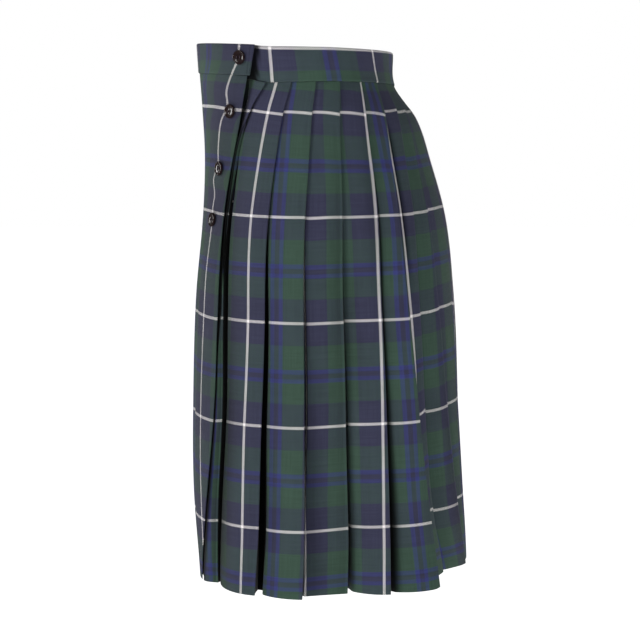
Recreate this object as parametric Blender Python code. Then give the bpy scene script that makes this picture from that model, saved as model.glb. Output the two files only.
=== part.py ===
"""Kilt skirt, worn form with no wearer: two aprons, a pleated length, a waistband and four buttons.

Metres, +Z up. The wearer faces -Y and the wearer's left is +X. The origin is the middle of the
waistband's ring, half way up the band. Every cloth piece is a thin wall. Its shape is first drawn as
a line in the flat of one level, with two coordinates: s, the distance round the garment from centre
front towards the wearer's left, and n, the distance outwards from the hull, the smooth curve that the
outermost folds touch. The line is given its thickness there and then bent round the hull.
"""

import math

import bmesh
import bpy
import numpy as np

MM = 0.001

# Cloth
WALL = 1.0 * MM            # thickness of one layer
PITCH = 1.4 * MM           # middle of one layer to the middle of the next where they lie close
CLOTH_PER_PLEAT = 71.7 * MM  # cloth from one outer fold to the next

# Heights
BAND_TOP = 17.5 * MM
SEAM = -18.0 * MM          # lower edge of the waistband
HEM = -546.0 * MM
BACK_DROP = 0.05           # the waist slopes down towards the back by this much a metre
FRONT_LIFT = 3.8 * MM      # the band's lower edge sits this much higher across the aprons
LIFT_RIGHT = (-176 * MM, -147 * MM)  # s between which the lift comes in at the wearer's right
LIFT_LEFT = (100 * MM, 138 * MM)     # and goes at the left, in the layers under the over apron
LIFT_FOOT = -75 * MM       # height below which the skirt isn't lifted
HEM_RISE = 5.0 * MM        # the hem hangs this much shorter over the sixth and seventh pleats
RISE_START = (416 * MM, 440 * MM)    # s between which the hem rises and sinks again
RISE_END = (490 * MM, 560 * MM)
RISE_TOP = -470.0 * MM     # height above which the rise isn't felt

# Waistband
BAND_WALL = 2.6 * MM
BAND_PITCH = 3.3 * MM      # the two thicknesses of the band across the front
BAND_PROUD = 1.3 * MM      # the band's outer side over the skirt below it
BAND_END = (158 * MM, 149.5 * MM)  # s of its free end, at its top and at its seam
BAND_JOIN = (164 * MM, 196 * MM)   # s where its inside part comes out to its outside

# Aprons
UNDER_PITCH = 2.8 * MM     # the under apron lies this far inside the over apron
UNDER_SHORT = 4 * MM       # its free edge ends this much nearer centre front than the over apron's
STRIP_START = 14 * MM      # before the over apron's edge, where the strip that shows begins

# Buttons
BUTTON_RADIUS = 7.5 * MM
BUTTON_THICK = 3.2 * MM
BUTTON_RIM = 1.5 * MM      # width of the raised rim
BUTTON_DISH = 0.9 * MM     # depth of the hollow inside the rim
BUTTON_ROUND = 0.7 * MM    # rounding of the rim's outer edge
BUTTON_SIDES = 28
HOLE_RADIUS = 0.85 * MM
HOLE_SPREAD = 1.75 * MM    # hole centres from the button's centre, along each axis
BUTTON_CLEAR = 0.45 * MM   # back of the button over the middle of the apron's outer side

# Hull: one row a level, all in millimetres but the two powers, which square the oval's corners.
HULL = (
    # z, front, back, half_width, front_power, back_power
    (18, -105.5, 106.0, 140.0, 2.2, 2.2),
    (-18, -103.5, 108.5, 141.0, 2.2, 2.2),
    (-50, -101.0, 132.5, 147.0, 2.3, 2.2),
    (-100, -98.5, 150.5, 157.0, 2.4, 2.2),
    (-160, -100.5, 167.5, 168.0, 2.5, 2.3),
    (-250, -108.5, 178.5, 180.0, 2.7, 2.4),
    (-360, -111.5, 184.5, 188.0, 2.9, 2.4),
    (-460, -111.0, 189.5, 193.0, 3.2, 2.4),
    (-546, -105.0, 196.0, 198.0, 3.5, 2.4),
)

# Levels at which the tables below give a fold's place, in millimetres.
FOLD_LEVELS = (-18, -50, -155, -262, -370, -478, -546)

# Free edge of the over apron, on the wearer's left, as s in millimetres at each of those levels.
APRON_EDGE = (147.0, 140.5, 127.0, 144.5, 150.0, 138.0, 115.0)

# Outer folds that show from the wearer's left, front to back: s in millimetres at each level, then at
# the hem how far the fold lies inside the hull (sink) and how far the next pleat starts under it (step).
LEFT_FOLDS = (
    # name, s at the seven levels, sink, step
    ("fold_0", (167.0, 150.3, 131.0, 148.0, 156.0, 146.0, 136.0), 11.0, 4.0),
    ("fold_1", (194.0, 187.0, 186.0, 203.8, 211.2, 215.8, 211.5), 7.0, 12.0),
    ("fold_2", (219.5, 217.0, 226.0, 247.5, 259.5, 266.0, 265.5), 0.0, 12.0),
    ("fold_3", (246.0, 246.0, 264.0, 287.5, 302.0, 312.5, 313.0), 24.0, 14.0),
    ("fold_4", (274.0, 276.0, 302.8, 330.2, 347.2, 360.0, 363.0), 12.0, 13.0),
    ("fold_5", (301.5, 303.0, 327.0, 362.0, 387.5, 411.0, 424.0), 1.0, 20.0),
    ("fold_6", (328.0, 328.0, 353.0, 384.5, 410.0, 442.0, 472.0), 20.0, 9.0),
    ("fold_7", (353.5, 353.0, 379.0, 415.5, 449.0, 490.0, 530.0), 5.0, 12.0),
)

# The folds that the left view hides run on evenly round the back and the wearer's right.
HIDDEN_FOLDS = 11
HIDDEN_SINKS = (4.0, 9.0, 1.0, 7.0, 3.0)    # millimetres at the hem, taken in turn
HIDDEN_STEPS = (13.0, 12.0, 14.0, 12.5)

SEAM_STEP = 2.9 * MM       # height of a fold over the next pleat at the waistband
FIRST_SEAM_STEP = 4.6 * MM   # the same at fold 0, where the over apron lies on it too
TUCK_SEAM = 2.7 * MM       # how much deeper the inner fold lies, at the waistband and at the hem
TUCK_HEM = 1.6 * MM
OPENING_POWER = 1.35       # how the sinks and steps grow from the waistband to the hem
FACE_BULGE = 1.2 * MM      # outward roundness of a pleat's face, at the hem
STRIP_BULGE = 3.0 * MM     # the same on the strip of pleat 0 that the over apron leaves bare
TURN = 0.7 * MM            # where the bend of a fold starts, before its tip
LEAST_UNDER = 6.0 * MM     # the least that a pleat runs back under its neighbour's fold
PARTED_EXTRA = 0.5 * MM    # more depth at an inner fold where two lengths are parted
APRON_PROUD = 1.0 * MM     # how far the over apron's free side stands outside the hull
APRON_CLIMB = 45 * MM      # length over which it comes out from under the last pleat
FACE_POINTS = (0.3, 0.55, 0.8)  # where a pleat's face is given points, as shares of its width
STRIP_POINTS = (0.35, 0.7)      # the same on the strip
NORMAL_REACH = 2.5 * MM    # the outward direction is read between points this far to either side
MITRE_LIMIT = 0.6          # a wall's corners are never drawn out by more than one over this

# Broad soft waves in the aprons at the hem: place, width and depth in millimetres.
APRON_WAVES = (
    # s, width, depth
    (-62.0, 44.0, -6.0),
    (14.0, 52.0, -4.5),
    (78.0, 24.0, -3.5),
)

# Pleated lengths: the first and last outer fold of each. They are parted inside a pleat.
PLEATED_LENGTHS = (
    ("pleats_left", 1, 6),
    ("pleats_back", 7, 12),
    ("pleats_right", 13, 18),
)

# Folds under which a length ends and the next piece starts.
PARTED_FOLDS = (0, 6, 12, 18)

# Buttons: s in millimetres and height of each centre, top to bottom.
BUTTONS = (
    # s, z
    (141.0, 2.3),
    (125.5, -53.0),
    (111.0, -111.5),
    (106.5, -165.0),
)

# Rows of points between the waistband and the hem, close together where the hip rounds.
ROWS = (-18.6, -46, -84, -128, -184, -252, -322, -388, -444, -496, -546)
APRON_COLUMNS = 17
BAND_COLUMNS = 73
HULL_POINTS = 720
SMOOTH_ANGLE = math.radians(40)  # edges sharper than this stay crisp

CLOTH_COLOUR = (0.046, 0.056, 0.066, 1.0)
BAND_COLOUR = (0.048, 0.050, 0.075, 1.0)
BUTTON_COLOUR = (0.020, 0.013, 0.012, 1.0)


def clear_scene():
    """Remove every object of the open file."""
    for item in list(bpy.data.objects):
        bpy.data.objects.remove(item, do_unlink=True)


def material(name, colour, roughness):
    """A Principled material of one colour."""
    made = bpy.data.materials.new(name)
    made.use_nodes = True
    shader = made.node_tree.nodes["Principled BSDF"]
    shader.inputs["Base Color"].default_value = colour
    shader.inputs["Roughness"].default_value = roughness
    shader.inputs["Metallic"].default_value = 0.0
    return made


def soft_curve(x, knots, values):
    """A smooth curve through the knots: cubic pieces whose slopes are the mean of their neighbours'."""
    order = np.argsort(knots)
    t = np.asarray(knots, float)[order]
    v = np.asarray(values, float)[order]
    chords = np.diff(v) / np.diff(t)
    slopes = np.concatenate([chords[:1], (chords[:-1] + chords[1:]) / 2, chords[-1:]])
    x = np.clip(x, t[0], t[-1])
    i = np.clip(np.searchsorted(t, x) - 1, 0, len(t) - 2)
    width = t[i + 1] - t[i]
    u = (x - t[i]) / width
    start = v[i] * (2 * u**3 - 3 * u**2 + 1) + slopes[i] * width * (u**3 - 2 * u**2 + u)
    end = v[i + 1] * (3 * u**2 - 2 * u**3) + slopes[i + 1] * width * (u**3 - u**2)
    return start + end


def smooth_step(x, low, high):
    """0 below low, 1 above high, and an S curve between."""
    u = np.clip((x - low) / (high - low), 0.0, 1.0)
    return u * u * (3 - 2 * u)


class Level:
    """The hull at one height, read by the distance s round it from centre front."""

    def __init__(self, z):
        self.z = z
        table = np.array(HULL, float)
        knots = table[:, 0] * MM
        front, back, half = (soft_curve(z, knots, table[:, i] * MM) for i in (1, 2, 3))
        powers = [soft_curve(z, knots, table[:, i]) for i in (4, 5)]
        turn = np.linspace(-0.5 * math.pi, 1.5 * math.pi, HULL_POINTS + 1)
        cos, sin = np.cos(turn), np.sin(turn)
        power = np.where(sin < 0, powers[0], powers[1])
        self.x = half * np.sign(cos) * np.abs(cos) ** (2 / power)
        middle, depth = (front + back) / 2, (back - front) / 2
        self.y = middle + depth * np.sign(sin) * np.abs(sin) ** (2 / power)
        steps = np.hypot(np.diff(self.x), np.diff(self.y))
        self.s = np.concatenate([[0.0], np.cumsum(steps)])
        self.round = self.s[-1]
        self.apron_edge = self.fold_place(APRON_EDGE)
        self.set_folds()
        self.set_inner_folds()

    def fold_place(self, places):
        """s of a fold at this height, from its places at the fold levels in millimetres."""
        return float(soft_curve(self.z, np.array(FOLD_LEVELS) * MM, np.array(places) * MM))

    def opened(self):
        """0 at the waistband and 1 at the hem: how far the pleats have opened."""
        drop = min(max((SEAM - self.z) / (SEAM - HEM), 0.0), 1.0)
        return drop**OPENING_POWER

    def tilt(self):
        """Share of the waist's slope at this height: all at the band and none at the hem."""
        return min((self.z - HEM) / (SEAM - HEM), 1.0)

    def hull_point(self, s):
        """Point and outward direction on the hull at s."""
        s = np.mod(s, self.round)
        x, y = np.interp(s, self.s, self.x), np.interp(s, self.s, self.y)
        ahead, behind = np.mod(s + NORMAL_REACH, self.round), np.mod(s - NORMAL_REACH, self.round)
        dx = np.interp(ahead, self.s, self.x) - np.interp(behind, self.s, self.x)
        dy = np.interp(ahead, self.s, self.y) - np.interp(behind, self.s, self.y)
        size = np.hypot(dx, dy)
        return x, y, dy / size, -dx / size

    def bend(self, line):
        """Points in space for (s, n) points."""
        x, y, out_x, out_y = self.hull_point(line[:, 0])
        x, y = x + line[:, 1] * out_x, y + line[:, 1] * out_y
        moved = self.lift(line[:, 0]) + self.rise(line[:, 0])
        return np.stack([x, y, self.z + moved - BACK_DROP * self.tilt() * y], axis=1)

    def over_point(self, s, n=0.0):
        """The point at n on the over apron, which comes a whole turn after s."""
        return self.bend(np.array([[s + self.round, n]]))[0]

    def lift(self, s):
        """How much higher the skirt sits across the aprons: most of all along the seam.

        The over apron and its part of the band come after a whole turn, so their s is over the round.
        """
        share = smooth_step(self.z, LIFT_FOOT, SEAM) * (1 - smooth_step(self.z, SEAM, BAND_TOP))
        over = smooth_step(s - self.round, *LIFT_RIGHT)
        under = smooth_step(s, *LIFT_RIGHT) * (1 - smooth_step(s, *LIFT_LEFT))
        return FRONT_LIFT * share * np.where(s > self.round / 2, over, under)

    def rise(self, s):
        """How much shorter the hem hangs at s: over two pleats only, and near the hem only."""
        share = 1 - smooth_step(self.z, HEM, RISE_TOP)
        return HEM_RISE * share * smooth_step(s, *RISE_START) * (1 - smooth_step(s, *RISE_END))

    def set_folds(self):
        """Place every outer fold in order round the garment, with its sink and its step."""
        opened = self.opened()
        left = [self.fold_place(row[1]) for row in LEFT_FOLDS]
        hidden = np.linspace(left[-1], self.round - left[0], HIDDEN_FOLDS + 1)[1:]
        self.outer = np.concatenate([left, hidden])
        sinks = [row[2] for row in LEFT_FOLDS]
        steps = [row[3] for row in LEFT_FOLDS]
        for i in range(HIDDEN_FOLDS):
            sinks.append(HIDDEN_SINKS[i % len(HIDDEN_SINKS)])
            steps.append(HIDDEN_STEPS[i % len(HIDDEN_STEPS)])
        self.high = -np.array(sinks) * MM * opened
        seam_steps = np.full(len(steps), SEAM_STEP)
        seam_steps[0] = FIRST_SEAM_STEP
        steps = seam_steps + (np.array(steps) * MM - seam_steps) * opened
        self.low = self.high - steps

    def set_inner_folds(self):
        """Place every inner fold: as far back as its cloth allows, under the face that covers it."""
        shown = np.diff(self.outer)
        shown = np.append(shown, shown[-1])
        back = np.maximum((CLOTH_PER_PLEAT - shown) / 2, LEAST_UNDER)
        self.inner = self.outer - back
        tuck = TUCK_SEAM + (TUCK_HEM - TUCK_SEAM) * self.opened()
        self.deep = self.low - tuck
        for k in range(len(self.outer)):
            if k > 0:
                path = (self.inner[k - 1], self.outer[k - 1], self.outer[k])
                depths = (self.deep[k - 1], self.low[k - 1], self.high[k])
                cover = np.interp(self.inner[k], path, depths)
                self.deep[k] = min(self.deep[k], cover - 2 * PITCH)
            if k in PARTED_FOLDS:
                self.deep[k] -= PARTED_EXTRA

    def return_line(self, k):
        """The tip of outer fold k and the cloth that runs back under it to the inner fold."""
        tip, top = self.outer[k], self.high[k]
        low = self.deep[k] + PITCH
        if k in PARTED_FOLDS:
            low += PARTED_EXTRA
        return [
            (tip - TURN, top),
            (tip, top - PITCH / 2),
            (tip - TURN, top - PITCH),
            ((tip + self.inner[k]) / 2, (top - PITCH + low) / 2),
            (self.inner[k] + TURN, low),
        ]

    def face_line(self, k):
        """The face of pleat k, from its inner fold to just before its outer fold."""
        start, end = self.outer[k - 1], self.outer[k]
        low, high = self.low[k - 1], self.high[k]
        points = [(self.inner[k - 1] + TURN, self.deep[k - 1]), (start, low)]
        for u in FACE_POINTS:
            bulge = 4 * u * (1 - u) * FACE_BULGE * self.opened()
            points.append((start + u * (end - start), low + u * (high - low) + bulge))
        return points

    def inner_fold(self, k):
        """The tip of the inner fold under outer fold k."""
        return [(self.inner[k], self.deep[k] + PITCH / 2)]

    def waves(self, s):
        """Depth of the aprons' soft waves at signed distance s from centre front."""
        depth = 0.0
        for place, width, deep in APRON_WAVES:
            depth += deep * MM * math.exp(-(((s / MM - place) / width) ** 2) * 4)
        return depth * self.opened()

    def over_depth(self, s):
        """n of the over apron: it climbs out from under the last pleat, then follows the hull."""
        start = self.outer[-1] - self.round
        climb = smooth_step(s, start, start + APRON_CLIMB)
        return self.low[-1] * (1 - climb) + self.proud(s) + self.waves(s)

    def proud(self, s):
        """How far the over apron and its band stand outside the hull, most at the free edge."""
        return APRON_PROUD * smooth_step(s, 0.0, self.apron_edge)

    def band_depth(self, s):
        """n of the waistband: its inner thickness lies inside the outer one across the front."""
        inside = 1 - smooth_step(s, BAND_JOIN[0], BAND_JOIN[1])
        return BAND_PROUD - BAND_PITCH * inside + self.proud(s - self.round)


def pleated_line(level, first, last):
    """Cross section of a pleated length with outer folds first to last."""
    points = []
    for k in range(first, last + 1):
        points += level.face_line(k)
        points += level.return_line(k)
        if k < last:
            points += level.inner_fold(k)
    return points


def over_apron_line(level):
    """Cross section of the over apron, from under the last pleat to its free edge a turn later."""
    start = level.outer[-1] - level.round
    points = [(level.inner[-1] + TURN, level.deep[-1])]
    for s in np.linspace(start, level.apron_edge, APRON_COLUMNS + 1):
        points.append((s + level.round, level.over_depth(s)))
    return points


def under_apron_line(level):
    """Cross section of the under apron: free edge, across the front, the strip that shows, fold 0."""
    edge = level.apron_edge
    points = []
    for s in np.linspace(UNDER_SHORT - edge, edge - STRIP_START, APRON_COLUMNS - 1):
        points.append((s, level.over_depth(s) - UNDER_PITCH))
    show = level.outer[0] - edge
    close = level.over_depth(edge) - UNDER_PITCH
    points.append((edge, close))
    for u in STRIP_POINTS:
        rise = STRIP_BULGE * level.opened() * math.sin(math.pi * u)
        points.append((edge + u * show, close + (level.high[0] - close) * u**2 + rise))
    points += level.return_line(0)
    return points


def band_line(level):
    """Cross section of the waistband: inside across the front, round the back, outside to its end."""
    rise = (level.z - SEAM) / (BAND_TOP - SEAM)
    end = BAND_END[1] + (BAND_END[0] - BAND_END[1]) * rise
    places = np.linspace(UNDER_SHORT - end, level.round + end, BAND_COLUMNS)
    return [(s, level.band_depth(s)) for s in places]


def thicken(line, wall):
    """The two sides of a wall along a line: points half a wall to its right and to its left."""
    line = np.array(line, float)
    runs = np.diff(line, axis=0)
    runs /= np.linalg.norm(runs, axis=1)[:, None]
    before = np.vstack([runs[:1], runs])
    after = np.vstack([runs, runs[-1:]])
    mean = before + after
    mean /= np.linalg.norm(mean, axis=1)[:, None]
    stretch = 1 / np.maximum((mean * after).sum(axis=1), MITRE_LIMIT)
    side = np.stack([-mean[:, 1], mean[:, 0]], axis=1) * stretch[:, None] * wall / 2
    return line + side, line - side


def wall_faces(rows, forward):
    """Triangles of a closed wall: an outer grid of points, then an inner one, and the rims between.

    forward says of each stretch between two columns whether s grows along it. The diagonals all lean
    the same way round the garment, so that layers close together are bent alike.
    """
    columns = len(forward) + 1
    far = rows * columns
    faces = []
    for r in range(rows - 1):
        for c in range(columns - 1):
            a, b = r * columns + c, r * columns + c + 1
            d, e = a + columns, b + columns
            halves = ((a, d, e), (a, e, b)) if forward[c] else ((a, d, b), (b, d, e))
            faces += halves
            faces += [(far + k, far + j, far + i) for i, j, k in halves]
    for c in range(columns - 1):
        low = (rows - 1) * columns + c
        faces.append((c, c + 1, far + c + 1, far + c))
        faces.append((low, far + low, far + low + 1, low + 1))
    for r in range(rows - 1):
        a, b = r * columns, (r + 1) * columns
        faces.append((a, far + a, far + b, b))
        a, b = a + columns - 1, b + columns - 1
        faces.append((a, b, far + b, far + a))
    return faces


def wall_object(name, levels, line_at, wall, colour):
    """A closed wall whose cross section at each level is a thickened line bent round the hull."""
    outer, inner = [], []
    for level in levels:
        line = np.array(line_at(level), float)
        line[:, 1] -= wall / 2
        left, right = thicken(line, wall)
        outer.append(level.bend(left))
        inner.append(level.bend(right))
    points = np.concatenate([np.concatenate(outer), np.concatenate(inner)])
    faces = wall_faces(len(levels), np.diff(line[:, 0]) > 0)
    mesh = bpy.data.meshes.new(name)
    mesh.from_pydata(points.tolist(), [], faces)
    work = bmesh.new()
    work.from_mesh(mesh)
    bmesh.ops.recalc_face_normals(work, faces=work.faces)
    work.to_mesh(mesh)
    work.free()
    return finish(name, mesh, colour)


def finish(name, mesh, colour):
    """Shade a mesh smooth but for its sharp edges, and put it into the scene."""
    mesh.shade_smooth()
    mesh.set_sharp_from_angle(angle=SMOOTH_ANGLE)
    mesh.materials.append(colour)
    item = bpy.data.objects.new(name, mesh)
    bpy.context.collection.objects.link(item)
    return item


def button_profile():
    """Half outline of a button, as radius and height pairs from the back's centre to the dish's."""
    rim_in = BUTTON_RADIUS - BUTTON_RIM
    corner = 0.3 * BUTTON_ROUND
    return (
        (BUTTON_RADIUS - 2 * BUTTON_ROUND, 0.0),
        (BUTTON_RADIUS - corner, BUTTON_ROUND),
        (BUTTON_RADIUS, BUTTON_THICK - BUTTON_ROUND - corner),
        (BUTTON_RADIUS - corner, BUTTON_THICK - corner),
        (BUTTON_RADIUS - BUTTON_ROUND, BUTTON_THICK),
        (rim_in, BUTTON_THICK - corner / 2),
        (rim_in - BUTTON_ROUND, BUTTON_THICK - BUTTON_DISH),
    )


def turned_disc(name, profile, sides):
    """A closed turned body about +Z, flat at its back and in its dish."""
    work = bmesh.new()
    rings = []
    for radius, height in profile:
        ring = []
        for i in range(sides):
            turn = 2 * math.pi * i / sides
            ring.append(work.verts.new((radius * math.cos(turn), radius * math.sin(turn), height)))
        rings.append(ring)
    for low, high in zip(rings, rings[1:]):
        for i in range(sides):
            j = (i + 1) % sides
            work.faces.new((low[i], low[j], high[j], high[i]))
    work.faces.new(list(reversed(rings[0])))
    work.faces.new(rings[-1])
    mesh = bpy.data.meshes.new(name)
    work.to_mesh(mesh)
    work.free()
    return mesh


def button_mesh():
    """One button with its four thread holes cut right through."""
    blank = bpy.data.objects.new("blank", turned_disc("blank", button_profile(), BUTTON_SIDES))
    bpy.context.collection.objects.link(blank)
    work = bmesh.new()
    for x in (-HOLE_SPREAD, HOLE_SPREAD):
        for y in (-HOLE_SPREAD, HOLE_SPREAD):
            made = bmesh.ops.create_cone(
                work, cap_ends=True, segments=8, radius1=HOLE_RADIUS, radius2=HOLE_RADIUS,
                depth=4 * BUTTON_THICK,
            )
            bmesh.ops.translate(work, verts=made["verts"], vec=(x, y, 0))
    mesh = bpy.data.meshes.new("holes")
    work.to_mesh(mesh)
    work.free()
    holes = bpy.data.objects.new("holes", mesh)
    bpy.context.collection.objects.link(holes)
    cut = blank.modifiers.new("holes", "BOOLEAN")
    cut.operation = "DIFFERENCE"
    cut.solver = "EXACT"
    cut.object = holes
    graph = bpy.context.evaluated_depsgraph_get()
    result = bpy.data.meshes.new_from_object(blank.evaluated_get(graph))
    for item in (blank, holes):
        bpy.data.objects.remove(item, do_unlink=True)
    return result


def place_button(name, mesh, s, z, colour):
    """Lay a copy of the button's mesh on the over apron, its face square to the cloth."""
    above, here, below = Level(z + BUTTON_RADIUS), Level(z), Level(z - BUTTON_RADIUS)
    up = above.over_point(s) - below.over_point(s)
    up /= np.linalg.norm(up)
    _, _, out_x, out_y = here.hull_point(np.array([s]))
    out = np.array([out_x[0], out_y[0], 0.0])
    out -= up * out.dot(up)
    out /= np.linalg.norm(out)
    side = np.cross(up, out)
    carrier = here.band_depth(s + here.round) if z > SEAM else here.over_depth(s)
    seat = BUTTON_CLEAR + carrier
    centre = here.over_point(s, seat)
    points = np.array([v.co for v in mesh.vertices], float)
    turned = points @ np.stack([side, up, out]) + centre
    copy = mesh.copy()
    copy.name = name
    copy.vertices.foreach_set("co", turned.astype(np.float32).ravel())
    copy.materials.clear()
    return finish(name, copy, colour)


def build():
    """Make every piece of the skirt."""
    clear_scene()
    cloth = material("tartan_wool", CLOTH_COLOUR, 0.9)
    band = material("band_wool", BAND_COLOUR, 0.9)
    horn = material("dark_button", BUTTON_COLOUR, 0.3)
    levels = [Level(z * MM) for z in ROWS]
    wall_object("over_apron", levels, over_apron_line, WALL, cloth)
    wall_object("under_apron", levels, under_apron_line, WALL, cloth)
    for name, first, last in PLEATED_LENGTHS:
        wall_object(name, levels, lambda at, a=first, b=last: pleated_line(at, a, b), WALL, cloth)
    band_levels = [Level(BAND_TOP), Level(SEAM)]
    wall_object("waistband", band_levels, band_line, BAND_WALL, band)
    blank = button_mesh()
    for i, (s, z) in enumerate(BUTTONS):
        place_button(f"button_{i + 1}", blank, s * MM, z * MM, horn)


build()
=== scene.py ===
"""Looks of the kilt skirt: wool aprons and knife pleats in a woven check, a waistband and four buttons.

Metres, +Z up. The wearer faces -Y and the wearer's left is +X. Every cloth piece is a thin shell. Its
middle surface is drawn first in flat coordinates: s, the distance round the garment from centre front
towards the wearer's left, and n, the distance outwards from the hull, the smooth curve that the
outermost folds touch. It is then bent round the hull, and gets its thickness along its own normals.
"""

import logging
import math
from dataclasses import dataclass, field
from enum import Enum

import bpy
import numpy as np
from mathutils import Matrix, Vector


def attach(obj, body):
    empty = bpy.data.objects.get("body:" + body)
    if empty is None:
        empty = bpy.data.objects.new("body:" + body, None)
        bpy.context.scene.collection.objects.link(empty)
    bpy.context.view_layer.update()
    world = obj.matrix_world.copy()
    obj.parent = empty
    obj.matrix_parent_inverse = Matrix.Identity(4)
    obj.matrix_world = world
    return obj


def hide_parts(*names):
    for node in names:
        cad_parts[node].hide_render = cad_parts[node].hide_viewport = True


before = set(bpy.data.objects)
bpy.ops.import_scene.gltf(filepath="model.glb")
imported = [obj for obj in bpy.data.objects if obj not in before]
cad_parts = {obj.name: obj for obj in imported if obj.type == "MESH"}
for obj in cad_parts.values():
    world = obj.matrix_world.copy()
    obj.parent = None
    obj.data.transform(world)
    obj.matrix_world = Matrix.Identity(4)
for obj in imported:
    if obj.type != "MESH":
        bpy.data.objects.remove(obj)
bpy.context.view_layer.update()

log = logging.getLogger("kilt_skirt")

MM = 0.001
BODY = "root"
SHADE = "fold_shade"  # attribute: painted shade, how little light comes between the layers, mixed into the cloth's colour


class Slot(Enum):
    """The record's material slots."""

    WOOL = "tartan_wool"
    BUTTON = "dark_button"


# Cloth and heights, the same driving sizes as the solids have
SEAM = -18.0 * MM  # lower edge of the waistband
HEM = -546.0 * MM
BAND_TOP = 17.5 * MM
WALL = 1.0 * MM  # a solid's wall, whose middle the thin cloth follows
CLOTH = 0.9 * MM  # thickness of the cloth that is shown
PITCH = 1.4 * MM  # middle of one layer to the middle of the next where they lie close
CLOTH_PER_PLEAT = 71.7 * MM
WARP_REPEAT = 115.0 * MM  # one repeat of the check across the cloth
WEFT_REPEAT = 107.2 * MM  # and one down it
FIRST_LINE = 32.2 * MM  # the first white line's middle, below the seam
YARN_WIDTH = 0.45 * MM
CUT_LENGTH = 0.545  # metres of cloth from the seam to the hem
FOLD_TURN = 0.7 * MM  # how far along s the half round at a fold reaches
RIM_STEPS = (0.12 * MM, 0.4 * MM)  # close rows and columns just inside a cloth's rims
RIM_SHARES = (0.45, 0.85)  # share of the full thickness at a rim, and at the next point
SHARP_ANGLE = 50.0  # degrees; an edge whose faces meet at more than this stays sharp

# The gap and the shade on a face beside the fold that lies over it
LEAST_WIDTH = 0.05 * MM  # a narrower one counts as this wide
GAP_DEPTH = 1.9  # depth of the gap as a share of its width
GAP_END = (0.45, 1.5)  # the face rolls outwards between these shares of the gap's width
SHADE_END = (0.6, 1.4)  # the shade fades between these shares of its reach
FAINT_REACH = 0.5 * MM  # a shade with a smaller reach is fainter too

# Hull: one row a level, all in millimetres but the two powers, which square the oval's corners.
HULL = (
    # z, front, back, half_width, front_power, back_power
    (18, -105.5, 106.0, 140.0, 2.2, 2.2),
    (-18, -103.5, 108.5, 141.0, 2.2, 2.2),
    (-50, -101.0, 132.5, 147.0, 2.3, 2.2),
    (-100, -98.5, 150.5, 157.0, 2.4, 2.2),
    (-160, -100.5, 167.5, 168.0, 2.5, 2.3),
    (-250, -108.5, 178.5, 180.0, 2.7, 2.4),
    (-360, -111.5, 184.5, 188.0, 2.9, 2.4),
    (-460, -111.0, 189.5, 193.0, 3.2, 2.4),
    (-546, -105.0, 196.0, 198.0, 3.5, 2.4),
)

# Levels at which the tables below give a fold's place, in millimetres.
FOLD_LEVELS = (-18, -50, -155, -262, -370, -478, -546)
NONE = (0.0,) * len(FOLD_LEVELS)  # 0 at every level

# Free edge of the over apron, as s in millimetres at each of those levels.
APRON_EDGE = (147.0, 140.5, 127.0, 144.5, 150.0, 138.0, 115.0)

# Outer folds that show from the wearer's left, front to back: s at each level, then at the hem how far
# the fold lies inside the hull (sink) and how far the next pleat starts under it (step), all in
# millimetres.
LEFT_FOLDS = (
    # s at the seven levels, sink, step
    ((167.0, 150.3, 128.4, 146.0, 154.4, 147.0, 133.8), 11.0, 4.0),
    ((194.0, 187.0, 186.0, 204.5, 211.2, 215.8, 211.5), 7.0, 12.0),
    ((219.5, 217.0, 225.4, 246.6, 258.2, 265.3, 265.0), 0.0, 12.0),
    ((246.0, 246.0, 264.0, 287.5, 302.0, 312.5, 312.1), 24.0, 14.0),
    ((274.0, 276.0, 302.8, 330.2, 347.2, 360.0, 363.0), 12.0, 13.0),
    ((301.5, 303.0, 327.0, 362.0, 387.5, 411.0, 424.0), 1.0, 20.0),
    ((328.0, 328.0, 353.0, 384.5, 410.0, 442.0, 472.0), 20.0, 9.0),
    ((353.5, 353.0, 379.0, 415.5, 449.0, 490.0, 530.0), 5.0, 12.0),
)

# Near the hip fold 0 swings closer to the apron's edge: height, width and shift in millimetres.
FIRST_FOLD_SWING = (-86.0, 32.0, -3.6)

# Where each of those folds lies across the check, in millimetres from a white line's middle, at the
# seven levels: the pleats are pressed by hand, so the lines wander a little along a fold.
FOLD_WARP = (
    (-14.0, -16.0, -43.0, -41.7, -43.4, -42.0, -43.7),
    (16.5, 17.3, 21.0, 19.7, 20.5, 19.8, 18.0),
    (86.0, 86.6, 87.7, 88.4, 90.0, 92.3, 93.0),
    (157.6, 157.6, 156.5, 157.0, 159.0, 163.0, 162.4),
    (231.3, 231.4, 233.3, 233.2, 235.3, 237.5, 238.3),
    (302.0, 299.5, 292.0, 298.5, 302.0, 309.0, 312.0),
    (374.0, 369.5, 364.0, 359.5, 362.0, 380.0, 390.0),
    (437.0, 437.0, 437.0, 442.0, 448.0, 457.0, 459.0),
)

# Width of the dark gap beside each fold, where the next face starts deep and then rolls outwards, in
# millimetres at the seven levels: the over apron's edge, then folds 0 to 6.
EDGE_GAP = (1.0, 3.0, 1.5, 0.8, 0.6, 1.6, 0.5)
FOLD_GAPS = (
    (0.0, 0.2, 3.4, 4.2, 4.2, 4.8, 1.8),
    (0.0, 0.1, 0.4, 2.8, 4.0, 6.0, 5.6),
    (0.0, 0.1, 0.4, 2.2, 2.6, 0.7, 1.5),
    (0.0, 0.1, 0.3, 1.2, 3.3, 4.0, 5.2),
    (0.0, 0.4, 2.0, 3.0, 5.0, 6.6, 6.8),
    (0.0, 0.4, 1.6, 2.6, 3.4, 4.0, 4.0),
    (0.0, 0.4, 1.6, 2.6, 3.4, 3.4, 3.4),
)
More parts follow.
